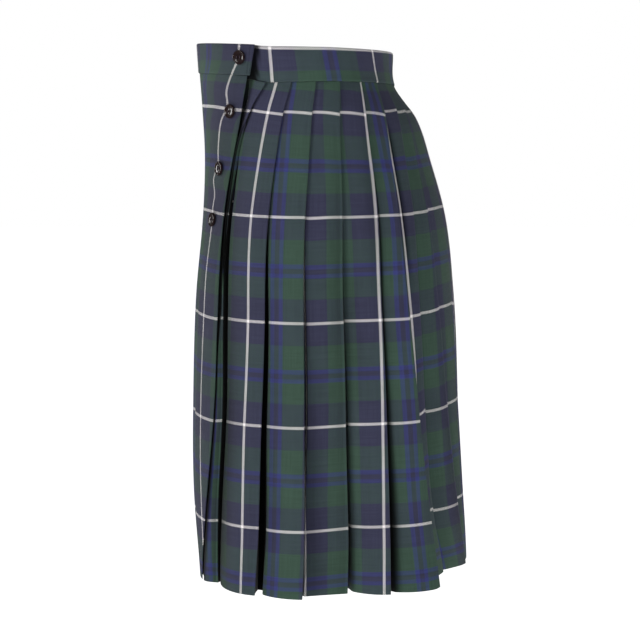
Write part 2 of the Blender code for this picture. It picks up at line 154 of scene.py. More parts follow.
# The later folds take these in turn.
HIDDEN_GAPS = (
    (0.0, 0.4, 1.6, 2.8, 4.2, 5.6, 6.0),
    (0.0, 0.3, 1.2, 2.0, 2.8, 3.2, 3.4),
    (0.0, 0.5, 2.2, 3.8, 5.6, 6.8, 7.4),
)

# How far beside each of those folds no light comes between the layers, in millimetres at the seven
# levels, and how dark it is there: the over apron's edge with its darkness at each level, then folds
# 0 to 4.
EDGE_SHADE = (6.5, 6.0, 2.5, 0.8, 1.7, 5.0, 9.0)
EDGE_DARK = (0.75, 0.78, 0.96, 0.99, 0.99, 0.99, 0.99)
FOLD_SHADES = (
    ((0.0, 0.0, 3.2, 5.6, 5.6, 8.6, 6.0), 0.995),
    ((0.0, 0.0, 0.1, 2.0, 3.0, 7.0, 5.0), 0.99),
    ((0.0, 0.0, 0.3, 2.8, 3.0, 0.5, 1.8), 0.50),
    ((0.0, 0.0, 0.3, 0.6, 2.8, 3.2, 5.4), 0.72),
    ((0.0, 0.4, 3.6, 4.7, 7.7, 11.8, 13.0), 0.98),
)
# The softer shade of each pleat's face where it rolls inwards, as a share at the seven levels: beside
# the fold over it, then beside its own fold, for pleats 1 to 8. The later pleats take the rows in turn.
START_SHADES = (
    (0.0, 0.0, 0.22, 0.40, 0.72, 0.80, 0.78),
    (0.0, 0.0, 0.0, 0.05, 0.20, 0.30, 0.30),
    (0.0, 0.0, 0.0, 0.0, 0.20, 0.34, 0.30),
    (0.0, 0.0, 0.05, 0.30, 0.02, 0.0, 0.0),
    (0.0, 0.0, 0.0, 0.0, 0.0, 0.05, 0.05),
    NONE,
    (0.0, 0.0, 0.0, 0.05, 0.12, 0.14, 0.10),
    (0.0, 0.0, 0.0, 0.14, 0.34, 0.40, 0.38),
)
END_SHADES = (
    (0.0, 0.0, 0.08, 0.04, 0.04, 0.12, 0.14),
    NONE,
    (0.0, 0.0, 0.30, 0.33, 0.24, 0.20, 0.20),
    (0.0, 0.10, 0.28, 0.05, 0.0, 0.0, 0.0),
    NONE,
    NONE,
    (0.0, 0.0, 0.0, 0.14, 0.30, 0.36, 0.34),
    (0.0, 0.0, 0.0, 0.14, 0.34, 0.40, 0.38),
)
# The soft shade of the over apron towards its free edge, as a share at the seven levels.
APRON_SHADE = (0.14, 0.20, 0.22, 0.15, 0.17, 0.12, 0.10)
# Reach and darkness of the shade beside every fold after those of FOLD_SHADES.
HIDDEN_SHADE = ((0.0, 0.3, 1.2, 2.4, 3.6, 5.0, 5.4), 0.85)

# How much lower the check lies on the cloth than the hull's own slope puts it, in millimetres at the seven
# levels: on the over apron, what is added to that towards its free edge, what is taken from it towards
# centre front and beyond, and then on each pleat.
APRON_WEFT = (-1.0, -0.4, 0.6, 2.0, 1.0, 1.2, 1.2)
APRON_EDGE_WEFT = (1.0, 2.2, 2.2, 1.5, 1.0, 0.5, 0.5)
APRON_FAR_WEFT = (0.0, 0.0, 0.5, 3.0, 8.0, 9.0, 6.0)
PLEAT_WEFT = (
    # the strip of pleat 0, then pleats 1 to 8
    (1.2, 0.9, 2.0, 2.7, 2.1, 1.5, 1.5),
    (0.5, 0.2, 2.0, 2.8, 2.2, 0.8, 0.8),
    (0.3, 0.4, 2.3, 3.4, 3.4, 3.5, 3.5),
    (0.8, 1.6, 3.5, 4.6, 4.6, 5.9, 6.0),
    (1.0, 2.4, 4.1, 3.8, 4.6, 6.0, 6.2),
    (1.0, 2.6, 3.7, 4.7, 6.3, 8.6, 9.0),
    (2.0, 1.6, 4.5, 4.0, 3.5, 1.6, 2.0),
    (2.0, 2.6, 3.8, 2.6, 1.9, 5.4, 6.5),
    (2.0, 2.0, 1.6, -0.5, -1.0, 1.5, 1.5),
)
# How much lower each pleat's fold hangs than its start, in millimetres: the strip, then pleats 1 to 8.
PLEAT_DROOP = (
    NONE,
    *((2.8, 2.8, 0.0, 0.0, 0.0, 0.0, 0.0),) * 5,
    (-2.0, -2.0, -0.5, -1.0, -5.0, 0.0, 0.0),
    (-2.0, -2.0, -1.5, -3.4, -3.0, -1.0, -1.0),
    (-2.0, -2.0, -1.5, -2.0, -2.0, 0.0, 0.0),
)

# A soft trough beside a vertical white line, where that pleat stands up in a ridge near the hip.
RIDGE_PLEAT = 6
RIDGE_LINE = 3  # the number of its white line
TROUGH_PLACE = 3.4 * MM  # from the line's middle
TROUGH_EDGE = 0.3 * TROUGH_PLACE  # its steep side begins this far from the line's middle
TROUGH_WIDTH = 3.2 * MM
TROUGH_DEPTH = 1.6 * MM
TROUGH_SHADE = 0.8
TROUGH_SPAN = ((-250.0 * MM, -160.0 * MM), (-75.0 * MM, -48.0 * MM))  # it fades over these heights

# Outer folds after those of LEFT_FOLDS: how many, and their sinks and steps in millimetres, taken in turn.
HIDDEN_FOLDS = 11
HIDDEN_SINKS = (4.0, 9.0, 1.0, 7.0, 3.0)
HIDDEN_STEPS = (13.0, 12.0, 14.0, 12.5)

# Outward roundness of the faces of pleats 1 to 18 at the hem, in millimetres.
FACE_BULGES = (2.2, 2.6, 0.6, 1.8, 2.4, 1.0, 1.6, 2.8, 0.9, 2.0, 1.3, 2.5, 1.1, 1.9, 0.8, 2.2, 1.4, 1.7)


def soft_curve(x: np.ndarray, knots: np.ndarray, values: np.ndarray) -> np.ndarray:
    """Smooth curve through knots: cubic pieces whose slopes are the mean of their neighbours'.

    Args:
        x: where to read the curve; held at the ends beyond them.
        knots: the knots' places, in any order.
        values: the curve's values there.

    Returns:
        The curve's values at x.
    """
    order = np.argsort(knots)
    t = np.asarray(knots, float)[order]
    v = np.asarray(values, float)[order]
    chords = np.diff(v) / np.diff(t)
    slopes = np.concatenate([chords[:1], (chords[:-1] + chords[1:]) / 2, chords[-1:]])
    x = np.clip(x, t[0], t[-1])
    i = np.clip(np.searchsorted(t, x) - 1, 0, len(t) - 2)
    width = t[i + 1] - t[i]
    u = (x - t[i]) / width
    start = v[i] * (2 * u**3 - 3 * u**2 + 1) + slopes[i] * width * (u**3 - 2 * u**2 + u)
    end = v[i + 1] * (3 * u**2 - 2 * u**3) + slopes[i + 1] * width * (u**3 - u**2)
    return start + end


def smooth_step(x: np.ndarray, low: float, high: float) -> np.ndarray:
    """0 below low, 1 above high and an S curve between: 3u^2 - 2u^3."""
    u = np.clip((x - low) / (high - low), 0.0, 1.0)
    return u * u * (3 - 2 * u)


def cavity(x: np.ndarray, gap: np.ndarray) -> np.ndarray:
    """Depth of a face beside the fold over it: full for most of the gap, then an S curve up to 0.

    Args:
        x: distance from the fold.
        gap: width of the gap.

    Returns:
        How much deeper the face lies.
    """
    width = np.maximum(gap, LEAST_WIDTH)
    return GAP_DEPTH * gap * (1 - smooth_step(x / width, *GAP_END))


def unlit(x: np.ndarray, reach: np.ndarray, dark: float) -> np.ndarray:
    """How dark a face is beside the fold over it: dark up to near the reach, then an S curve to 0."""
    width = np.maximum(reach, LEAST_WIDTH)
    return dark * np.clip(reach / FAINT_REACH, 0, 1) * (1 - smooth_step(x / width, *SHADE_END))


def bell(x: np.ndarray, middle: float, width: float) -> np.ndarray:
    """A bell curve, 1 at its middle and about a third at one width from it: e^-(x/width)^2."""
    return np.exp(-(((x - middle) / width) ** 2))


@dataclass
class Hull:
    """The smooth oval body round which the skirt hangs, at a column of heights.

    At each height the ring is a superellipse: x = half cos^(2/p), y = middle + depth sin^(2/p), with
    the signs of cos and sin kept, and p given apart for the front and the back.
    """

    heights: np.ndarray
    ring_points: int = 720
    back_drop: float = 0.05  # the waist slopes: it falls this much for each metre of y
    reach: float = 2.5 * MM  # a ring's direction is taken from this far on either side
    front_lift: float = 3.8 * MM  # the band's lower edge sits this much higher across the aprons
    lift_right: tuple = (-176.0 * MM, -147.0 * MM)  # it sets in between these places
    lift_left: tuple = (100.0 * MM, 138.0 * MM)  # and ends between these, but not in the over apron
    lift_foot: float = -75.0 * MM  # it fades out down to here
    hem_rise: float = 5.0 * MM  # the hem hangs this much shorter over two pleats
    rise_start: tuple = (416.0 * MM, 440.0 * MM)  # between these places it sets in
    rise_end: tuple = (490.0 * MM, 560.0 * MM)  # and between these it ends
    rise_top: float = -470.0 * MM  # it fades out up to here
    # How much higher the seam sits along the pleated side: s and height, both in millimetres.
    side_lift: tuple = (
        # s, height
        (150, 0.0), (165, -2.1), (195, -0.5), (215, 0.9), (235, 2.3), (265, 2.9), (300, 3.1), (350, 2.4),
        (400, 0.0),
    )
    side_share_top: float = 0.5  # share of it that is left at the band's top edge
    table: tuple = HULL

    def __post_init__(self) -> None:
        """Work out every ring and the distance along it."""
        rows = np.array(self.table, float)
        knots = rows[:, 0] * MM
        z = self.heights
        front, back, half = (soft_curve(z, knots, rows[:, i] * MM)[:, None] for i in (1, 2, 3))
        front_power, back_power = (soft_curve(z, knots, rows[:, i])[:, None] for i in (4, 5))
        turn = np.linspace(-0.5 * math.pi, 1.5 * math.pi, self.ring_points + 1)[None, :]
        cos, sin = np.cos(turn), np.sin(turn)
        power = np.where(sin < 0, front_power, back_power)
        self.x = half * np.sign(cos) * np.abs(cos) ** (2 / power)
        self.y = (front + back) / 2 + (back - front) / 2 * np.sign(sin) * np.abs(sin) ** (2 / power)
        steps = np.hypot(np.diff(self.x, axis=1), np.diff(self.y, axis=1))
        self.s = np.concatenate([np.zeros((len(z), 1)), np.cumsum(steps, axis=1)], axis=1)
        self.round = self.s[:, -1]
        level = np.diff(self.x, axis=0) ** 2 + np.diff(self.y, axis=0) ** 2
        drops = np.sqrt(level + np.diff(z)[:, None] ** 2)
        self.drop = np.concatenate([np.zeros((1, drops.shape[1])), np.cumsum(drops, axis=0)])

    def read(self, values: np.ndarray, s: np.ndarray) -> np.ndarray:
        """Values kept along the rings, read at s; one ring a row, joined at its ends."""
        places = np.mod(s, self.round[:, None])
        return np.stack([np.interp(*row) for row in zip(places, self.s, values)])

    def tilt(self) -> np.ndarray:
        """Share of the waist's slope at each height: all of it at the band and none at the hem."""
        return np.minimum((self.heights - HEM) / (SEAM - HEM), 1.0)[:, None]

    def bend(self, s: np.ndarray, n: np.ndarray) -> np.ndarray:
        """Points in space: the ring's point at s, moved n outwards, square to the ring.

        Args:
            s: distances round the garment, one row a height.
            n: distances outwards, of the same shape.

        Returns:
            An array of points, rows by columns by three.
        """
        x, y = self.read(self.x, s), self.read(self.y, s)
        dx = self.read(self.x, s + self.reach) - self.read(self.x, s - self.reach)
        dy = self.read(self.y, s + self.reach) - self.read(self.y, s - self.reach)
        size = np.hypot(dx, dy)
        x, y = x + n * dy / size, y - n * dx / size
        z = self.heights[:, None] + self.lift(s) + self.rise(s) - self.back_drop * self.tilt() * y
        return np.stack([x, y, z], axis=2)

    def lift(self, s: np.ndarray) -> np.ndarray:
        """How much higher the skirt sits across the aprons: most of all along the seam.

        The over apron and its part of the band come after a whole turn, so their s is over the round.

        Args:
            s: places round the garment.

        Returns:
            The heights to add, of the same shape.
        """
        z, around = self.heights[:, None], self.round[:, None]
        share = smooth_step(z, self.lift_foot, SEAM) * (1 - smooth_step(z, SEAM, BAND_TOP))
        over = smooth_step(s - around, *self.lift_right)
        under = smooth_step(s, *self.lift_right) * (1 - smooth_step(s, *self.lift_left))
        knots, heights = np.array(self.side_lift, float).T * MM
        side_share = smooth_step(z, self.lift_foot, SEAM)
        side_share = side_share * (1 - (1 - self.side_share_top) * smooth_step(z, SEAM, BAND_TOP))
        side = side_share * soft_curve(s, knots, heights)
        return self.front_lift * share * np.where(s > around / 2, over, under) + side

    def rise(self, s: np.ndarray) -> np.ndarray:
        """How much shorter the hem hangs: over two pleats only, and near the hem only."""
        share = 1 - smooth_step(self.heights[:, None], HEM, self.rise_top)
        return self.hem_rise * share * smooth_step(s, *self.rise_start) * (1 - smooth_step(s, *self.rise_end))

    def drop_at(self, s: np.ndarray) -> np.ndarray:
        """Distance down the hull's surface from the first height, at s."""
        return self.read(self.drop, s)


@dataclass
class Folds:
    """Where every knife pleat's outer and inner fold lies, height by height.

    An outer fold k lies at outer[k] with its outside at high[k]; the next face starts under it at
    low[k], and the cloth turns back at the inner fold, inner[k], deep[k].
    """

    hull: Hull
    seam_step: float = 2.9 * MM  # how much deeper than its fold the next face starts, at the seam
    first_seam_step: float = 4.6 * MM  # and beside fold 0
    tuck_seam: float = 2.7 * MM  # how much deeper still the cloth turns back, at the seam
    tuck_hem: float = 1.6 * MM  # and at the hem
    opening_power: float = 1.35  # the pleats open with this power of the share of the way down
    least_under: float = 6.0 * MM  # least distance from an outer fold back to its inner fold
    under_pitch: float = 2.8 * MM  # the under apron lies this far inside the over apron
    parted: tuple = (0, 6, 12, 18)  # the folds at which one piece of cloth ends
    parted_extra: float = 0.5 * MM  # how much deeper the cloth turns back there
    wander: float = 0.6 * MM  # the folds sway this far, as a sine of the height
    wander_height: float = 48.0 * MM  # over which the sine's angle grows by a radian
    wander_turn: float = 2.4  # radians by which it grows from fold to fold

    def __post_init__(self) -> None:
        """Work out the folds' lines."""
        z = self.hull.heights
        drop = np.clip((SEAM - z) / (SEAM - HEM), 0.0, 1.0)
        self.opened = drop**self.opening_power
        left = np.stack([self.along(row[0]) for row in LEFT_FOLDS])
        swing_z, swing_width, swing = (value * MM for value in FIRST_FOLD_SWING)
        left[0] += swing * bell(z, swing_z, swing_width)
        share = np.arange(1, HIDDEN_FOLDS + 1)[:, None] / HIDDEN_FOLDS
        hidden = left[-1] + (self.hull.round - left[0] - left[-1]) * share
        self.outer = np.concatenate([left, hidden])
        count = len(self.outer)
        turn = np.arange(count)[:, None] * self.wander_turn
        self.outer += self.wander * self.opened * np.sin(z[None, :] / self.wander_height + turn)
        i = np.arange(HIDDEN_FOLDS)
        hidden_sinks = np.array(HIDDEN_SINKS)[i % len(HIDDEN_SINKS)]
        hidden_steps = np.array(HIDDEN_STEPS)[i % len(HIDDEN_STEPS)]
        sinks = np.concatenate([[row[1] for row in LEFT_FOLDS], hidden_sinks]) * MM
        steps = np.concatenate([[row[2] for row in LEFT_FOLDS], hidden_steps]) * MM
        self.high = -sinks[:, None] * self.opened
        seam_steps = np.full(count, self.seam_step)
        seam_steps[0] = self.first_seam_step
        self.low = self.high - seam_steps[:, None] - (steps - seam_steps)[:, None] * self.opened
        shown = np.stack([self.along(row) for row in FOLD_WARP])
        later = CLOTH_PER_PLEAT * np.arange(1, HIDDEN_FOLDS + 1)[:, None]
        self.warp = np.concatenate([shown, shown[-1] + later])
        weft = np.stack([self.along(row) for row in PLEAT_WEFT])
        self.weft = np.concatenate([weft, np.repeat(weft[:1], HIDDEN_FOLDS - 1, axis=0)])
        droop = np.stack([self.along(row) for row in PLEAT_DROOP])
        self.droop = np.concatenate([droop, np.repeat(droop[1:2], HIDDEN_FOLDS - 1, axis=0)])
        turns = [HIDDEN_GAPS[j % len(HIDDEN_GAPS)] for j in range(count - len(FOLD_GAPS))]
        self.gap = np.stack([self.along(row) for row in (*FOLD_GAPS, *turns)])
        self.edge_gap = self.along(EDGE_GAP)
        shades = [*FOLD_SHADES, *[HIDDEN_SHADE] * (count - len(FOLD_SHADES))]
        self.reach = np.stack([self.along(row[0]) for row in shades])
        self.soft = [
            np.stack([self.along(rows[j % len(rows)]) for j in range(count)]) / MM
            for rows in (START_SHADES, END_SHADES)
        ]
        self.dark = [row[1] for row in shades]
        self.set_inner()

    def along(self, places: tuple) -> np.ndarray:
        """A place given in millimetres at the fold levels, read at every height."""
        return soft_curve(self.hull.heights, np.array(FOLD_LEVELS) * MM, np.array(places) * MM)

    def set_inner(self) -> None:
        """Place the inner folds: as far back as the cloth allows, under the face that covers each."""
        shown = np.diff(self.outer, axis=0)
        shown = np.concatenate([shown, shown[-1:]])
        self.inner = self.outer - np.maximum((CLOTH_PER_PLEAT - shown) / 2, self.least_under)
        tuck = self.tuck_seam + (self.tuck_hem - self.tuck_seam) * self.opened
        self.deep = self.low - tuck
        foot = self.low - cavity(0 * self.low, self.gap)
        self.deep = np.minimum(self.deep, foot)
        strip = -self.under_pitch - cavity(0 * self.edge_gap, self.edge_gap) - 2 * PITCH
        self.deep[0] = np.minimum(self.deep[0], strip)
        for k in range(len(self.outer)):
            if k > 0:
                self.deep[k] = np.minimum(self.deep[k], self.cover(k) - 2 * PITCH)
            if k in self.parted:
                self.deep[k] -= self.parted_extra

    def cover(self, k: int) -> np.ndarray:
        """Depth of the face that lies over inner fold k, on its straight runs before and after fold k-1.

        Args:
            k: the inner fold's number.

        Returns:
            The face's n at every height.
        """
        at = self.inner[k]
        start, turn, end = self.inner[k - 1], self.outer[k - 1], self.outer[k]
        before = np.clip((at - start) / (turn - start), 0, 1)
        after = np.clip((at - turn) / (end - turn), 0, 1)
        run_in = self.deep[k - 1] + before * (self.low[k - 1] - self.deep[k - 1])
        run_on = self.low[k - 1] + after * (self.high[k] - self.low[k - 1])
        run_on = run_on - cavity(at - turn, self.gap[k - 1])
        return np.where(at < turn, run_in, run_on)


@dataclass
class Line:
    """A piece's middle surface in flat coordinates, one row a height.

    It holds arrays of s, n, the place across the check, what is added to the place down it, and shade.
    """

    s: np.ndarray
    n: np.ndarray
    warp: np.ndarray
    weft: np.ndarray
    shade: np.ndarray


@dataclass
class Drape:
    """The hull and the folds at close rows, with the small unevenness that all layers share."""

    row_step: float = 4.0 * MM
    top: float = SEAM - 0.2 * MM  # the cloth's upper rim
    ripple: float = 0.7 * MM  # height of the swell, a sum of two waves
    ripple_shares: tuple = (0.6, 0.7)
    ripple_round: tuple = (43.0 * MM, 71.0 * MM)  # distance round in which each wave turns a radian
    ripple_down: tuple = (110.0 * MM, 87.0 * MM)  # and the distance down
    ripple_bend: float = 1.7  # radians by which the first wave sways
    ripple_start: float = 2.0  # radians at which the second wave starts
    tuck_height: float = 3.4 * MM  # how far the deep folds go up behind the waistband
    tuck_clear: tuple = (0.15 * MM, 0.5 * MM)  # where they lie this far inside the band's inner side
    tuck_end: tuple = (158.0 * MM, 150.0 * MM)  # it fades out between these, from centre front

    def __post_init__(self) -> None:
        """Set the rows from the seam down to the hem, with close rows at the rims."""
        count = int((self.top - HEM) / self.row_step)
        middle = np.linspace(self.top, HEM, count)[1:-1]
        rims = np.array(RIM_STEPS)
        heights = [[self.top], self.top - rims, middle, HEM + rims[::-1], [HEM]]
        self.hull = Hull(np.concatenate(heights))
        self.folds = Folds(self.hull)
        self.z = self.hull.heights[:, None]
        self.opened = self.folds.opened[:, None]

    def unevenness(self, s: np.ndarray) -> np.ndarray:
        """Slow swell and dip of the whole garment: two waves, each a sine of the places round and down.

        Args:
            s: places round the garment.

        Returns:
            What is added to n there.
        """
        first_round, second_round = self.ripple_round
        first_down, second_down = self.ripple_down
        first = np.sin(s / first_round + self.ripple_bend * np.sin(self.z / first_down))
        second = np.sin(s / second_round - self.z / second_down + self.ripple_start)
        first_share, second_share = self.ripple_shares
        return self.ripple * self.opened * (first_share * first + second_share * second)

    def tucked_in(self, s: np.ndarray, n: np.ndarray) -> np.ndarray:
        """How far the cloth goes up behind the waistband: where it lies deeper than the band's inner side.

        It fades out at the wearer's right, before the band's inner layer begins.

        Args:
            s: places round the top rim.
            n: how far out the cloth lies there.

        Returns:
            The heights above the seam.
        """
        band = Waistband()
        inside = band.depth(self.hull, s[None, :])[0] - band.wall
        far, near = self.tuck_end
        before = 1 - smooth_step(s, self.hull.round[0] - far, self.hull.round[0] - near)
        return self.tuck_height * before * smooth_step(inside - n, *self.tuck_clear)


def arc_length(s: np.ndarray, n: np.ndarray) -> np.ndarray:
    """Distance along each row's line of (s, n) points, from its first point."""
    steps = np.hypot(np.diff(s, axis=1), np.diff(n, axis=1))
    return np.concatenate([np.zeros((len(s), 1)), np.cumsum(steps, axis=1)], axis=1)


def quads(rows: int, columns: int) -> np.ndarray:
    """Four-sided faces of a closed shell made of an outer grid and, after it, an inner grid of points.

    Args:
        rows: rows of each grid.
        columns: columns of each grid.

    Returns:
        Vertex numbers, one row a face.
    """
    grid = np.arange(rows * columns).reshape(rows, columns)
    far = grid + rows * columns
    a, b, c, d = grid[:-1, :-1], grid[1:, :-1], grid[1:, 1:], grid[:-1, 1:]
    outer = np.stack([a, b, c, d], axis=-1).reshape(-1, 4)
    inner = outer[:, ::-1] + rows * columns
    top = np.stack([grid[0, :-1], grid[0, 1:], far[0, 1:], far[0, :-1]], axis=-1)
    foot = np.stack([grid[-1, :-1], far[-1, :-1], far[-1, 1:], grid[-1, 1:]], axis=-1)
    near = np.stack([grid[:-1, 0], far[:-1, 0], far[1:, 0], grid[1:, 0]], axis=-1)
    end = np.stack([grid[:-1, -1], grid[1:, -1], far[1:, -1], far[:-1, -1]], axis=-1)
    return np.concatenate([outer, inner, top, foot, near, end])


def surface_normals(points: np.ndarray) -> np.ndarray:
    """Unit normals of a grid: the cross product of its slopes down the rows and along the columns.

    Args:
        points: the grid, rows by columns by three.

    Returns:
        The normals, of the same shape.
    """
    down = np.gradient(points, axis=0)
    along = np.gradient(points, axis=1)
    normals = np.cross(down, along)
    return normals / np.linalg.norm(normals, axis=2, keepdims=True)


def add_mesh(
    name: str, points: np.ndarray, faces: np.ndarray, material: bpy.types.Material
) -> bpy.types.Object:
    """Put points and faces into a new object at the origin.

    Args:
        name: the piece's name.
        points: places of the vertices, in metres.
        faces: vertex numbers, one row a face.
        material: the piece's finish.

    Returns:
        The new object, shaded smooth but for its sharp edges.
    """
    mesh = bpy.data.meshes.new(name)
    mesh.from_pydata(points.tolist(), [], faces.tolist())
    mesh.shade_smooth()
    mesh.set_sharp_from_angle(angle=math.radians(SHARP_ANGLE))
    mesh.materials.append(material)
    piece = bpy.data.objects.new(name, mesh)
    bpy.context.scene.collection.objects.link(piece)
    return piece


def shell(
    name: str, points: np.ndarray, wall: np.ndarray, cloth: tuple, material: bpy.types.Material
) -> bpy.types.Object:
    """A closed shell: a grid of points moved half a wall to either side along its normals.

    Args:
        name: the piece's name.
        points: middle surface, rows by columns by three, rows running down.
        wall: thickness at each point.
        cloth: at each point its place across the cloth and down it, in metres, and its shade.
        material: the piece's finish.

    Returns:
        The new object.
    """
    half = surface_normals(points) * wall[..., None] / 2
    both = np.concatenate([(points + half).reshape(-1, 3), (points - half).reshape(-1, 3)])
    piece = add_mesh(name, both, quads(*wall.shape), material)
    warp, weft, shade = cloth
    set_cloth_map(piece, np.concatenate([warp, warp]), np.concatenate([weft, weft]))
    layer = piece.data.attributes.new(name=SHADE, type="FLOAT", domain="POINT")
    layer.data.foreach_set("value", np.concatenate([shade, 0 * shade]).astype(np.float32).ravel())
    return piece


def set_cloth_map(piece: bpy.types.Object, warp: np.ndarray, weft: np.ndarray) -> None:
    """Give a mesh its cloth map: for each vertex its place in the woven cloth, in metres.

    Args:
        piece: the object that carries the mesh.
        warp: each vertex's place across the cloth.
        weft: its place down the cloth.
    """
    mesh = piece.data
    corners = np.zeros(len(mesh.loops), np.int32)
    mesh.loops.foreach_get("vertex_index", corners)
    places = np.stack([warp.ravel(), weft.ravel()], axis=1)[corners]
    layer = mesh.uv_layers.new(name="cloth")
    layer.uv.foreach_set("vector", places.astype(np.float32).ravel())


def rim_profile(count: int) -> np.ndarray:
    """Shares of the full thickness along a line of points, thin at both ends, for rounded rims.

    Args:
        count: how many points the line has.

    Returns:
        One share a point.
    """
    shares = np.ones(count)
    shares[: len(RIM_SHARES)] = RIM_SHARES
    shares[-len(RIM_SHARES):] = RIM_SHARES[::-1]
    return shares


def end_rims(places: np.ndarray, steps: tuple = RIM_STEPS) -> np.ndarray:
    """Add close columns just inside both ends of each row of places, for rounded rims.

    Args:
        places: the rows, which rise.
        steps: how far inside each end the new columns lie.

    Returns:
        The rows with their new columns.
    """
    first, last = places[:, :1], places[:, -1:]
    inside = np.array(steps)[None, :]
    return np.concatenate([first, first + inside, places[:, 1:-1], last - inside[:, ::-1], last], axis=1)


def cloth_piece(
    name: str, drape: Drape, line: Line, material: bpy.types.Material, turn: np.ndarray | float = 0.0
) -> bpy.types.Object:
    """A thin closed shell: the line bent round the hull, then half a wall to either side of it.

    Args:
        name: the piece's name.
        drape: the hull and the folds.
        line: the outer side's line at every height.
        material: the piece's finish.
        turn: what is added to s where the piece comes a whole turn later.

    Returns:
        The new object.
    """
    points = drape.hull.bend(line.s + turn, line.n - WALL / 2 + drape.unevenness(line.s))
    points[:1 + len(RIM_STEPS), :, 2] += drape.tucked_in((line.s + turn)[0], line.n[0])
    rows, columns = line.s.shape
    shares = rim_profile(rows)[:, None] * rim_profile(columns)[None, :]
    weft = drape.hull.drop_at(line.s) - FIRST_LINE + line.weft
    return shell(name, points, shares * CLOTH, (line.warp, weft, line.shade), material)


@dataclass
class PleatedLength:
    """A run of knife pleats, drawn as one unbroken line of cloth at each height."""

    name: str
    first: int
    last: int
    drape: Drape
    under_columns: int = 7  # points along the stretch of a face under the fold before it
    face_columns: int = 25  # along the face that shows
    face_power: float = 1.5  # which lie closer together at its start, by this power
    tip_columns: int = 7  # round its outer fold
    return_columns: int = 8  # along the cloth that runs back
    inner_columns: int = 5  # round its inner fold
    turn: float = FOLD_TURN  # reach along s of the half round at a fold
    lift: float = 0.45  # how much a face bulges, as a share of its rise
    start_end: tuple = (0.0, 0.7)  # the soft shade at a face's start fades between these shares of it
    fold_end: tuple = (0.45, 1.0)  # and the one at its own fold begins between these
    turned_columns: tuple = (-0.5, 2)  # columns past a fold's middle between which its shade sets in

    def face(self, k: int) -> tuple[np.ndarray, np.ndarray, np.ndarray, np.ndarray]:
        """Face of pleat k: straight under the last fold, then rounded outwards up to its own fold.

        Args:
            k: the pleat's number, which is its own fold's too.

        Returns:
            s, n, the share of the face passed, from 0 at its start to 1 at its fold, and its shade.
        """
        f = self.drape.folds
        t = np.linspace(0, 1, self.under_columns)[None, :-1]
        start, end = f.outer[k - 1][:, None], f.outer[k][:, None]
        low, high = f.low[k - 1][:, None], f.high[k][:, None]
        inside = f.inner[k - 1][:, None] + self.turn
        under_s = inside + t * (start - inside)
        gap = f.gap[k - 1][:, None]
        foot = low - cavity(0 * low, gap)
        under_n = f.deep[k - 1][:, None] + t * (foot - f.deep[k - 1][:, None])
        u = np.linspace(0, 1, self.face_columns)[None, :-1] ** self.face_power
        bulge = FACE_BULGES[k - 1] * MM * self.drape.opened
        rounded = u + self.lift * u * (1 - u) * self.drape.opened
        face_s = start + u * (end - self.turn - start)
        face_n = low + rounded * (high - low) + 4 * u * (1 - u) * bulge - cavity(face_s - start, gap)
        s = np.concatenate([under_s, face_s], axis=1)
        n = np.concatenate([under_n, face_n], axis=1)
        share = np.concatenate([0 * under_s, u + 0 * face_s], axis=1)
        shade = unlit(np.maximum(s - start, 0), f.reach[k - 1][:, None], f.dark[k - 1])
        start_shade, end_shade = (rows[k - 1][:, None] for rows in f.soft)
        lit_start = 1 - start_shade * (1 - smooth_step(share, *self.start_end))
        lit_end = 1 - end_shade * smooth_step(share, *self.fold_end)
        shade = 1 - (1 - shade) * (lit_start * lit_end)
        if k == RIDGE_PLEAT:
            trough = self.trough(s, k)
            n = n - TROUGH_DEPTH * trough
            shade = np.maximum(shade, TROUGH_SHADE * trough)
        return s, n, share, shade

    def trough(self, s: np.ndarray, k: int) -> np.ndarray:
        """Share of the trough beside the ridge: steep next to the line, and fading away from it.

        Args:
            s: places of that pleat's face.
            k: the pleat's number.

        Returns:
            The share at each place.
        """
        f = self.drape.folds
        away = s - f.outer[k][:, None] + f.warp[k][:, None] - RIDGE_LINE * WARP_REPEAT
        across = smooth_step(away, TROUGH_EDGE, TROUGH_PLACE)
        across = across * np.where(away < TROUGH_PLACE, 1.0, bell(away, TROUGH_PLACE, TROUGH_WIDTH))
        foot, top = TROUGH_SPAN
        return across * smooth_step(self.drape.z, *foot) * (1 - smooth_step(self.drape.z, *top))

    def tip(self, k: int) -> tuple[np.ndarray, np.ndarray]:
        """Outer fold k: half a circle from the face round to the cloth's return.

        Args:
            k: the fold's number.

        Returns:
            s and n.
        """
        f = self.drape.folds
        a = np.linspace(0.5 * math.pi, -0.5 * math.pi, self.tip_columns)[None, :]
        middle = f.high[k][:, None] - PITCH / 2
        return f.outer[k][:, None] - self.turn + self.turn * np.cos(a), middle + PITCH / 2 * np.sin(a)

    def back_run(self, k: int) -> tuple[np.ndarray, np.ndarray]:
        """The cloth that runs back under outer fold k, straight down to the inner fold.

        Args:
            k: the fold's number.

        Returns:
            s and n.
        """
        f = self.drape.folds
        t = np.linspace(0, 1, self.return_columns + 1)[None, 1:]
        extra = f.parted_extra if k in f.parted else 0.0
        low = f.deep[k][:, None] + PITCH + extra
        top = f.high[k][:, None] - PITCH
        start, end = f.outer[k][:, None] - self.turn, f.inner[k][:, None] + self.turn
        return start + t * (end - start), top + t * (low - top)

    def inner_turn(self, k: int) -> tuple[np.ndarray, np.ndarray]:
        """Inner fold k: half a circle that opens towards the wearer's left.

        Args:
            k: the fold's number.

        Returns:
            s and n.
        """
        f = self.drape.folds
        a = np.linspace(0.5 * math.pi, 1.5 * math.pi, self.inner_columns)[None, 1:-1]
        middle = f.deep[k][:, None] + PITCH / 2
        return f.inner[k][:, None] + self.turn + self.turn * np.cos(a), middle + PITCH / 2 * np.sin(a)

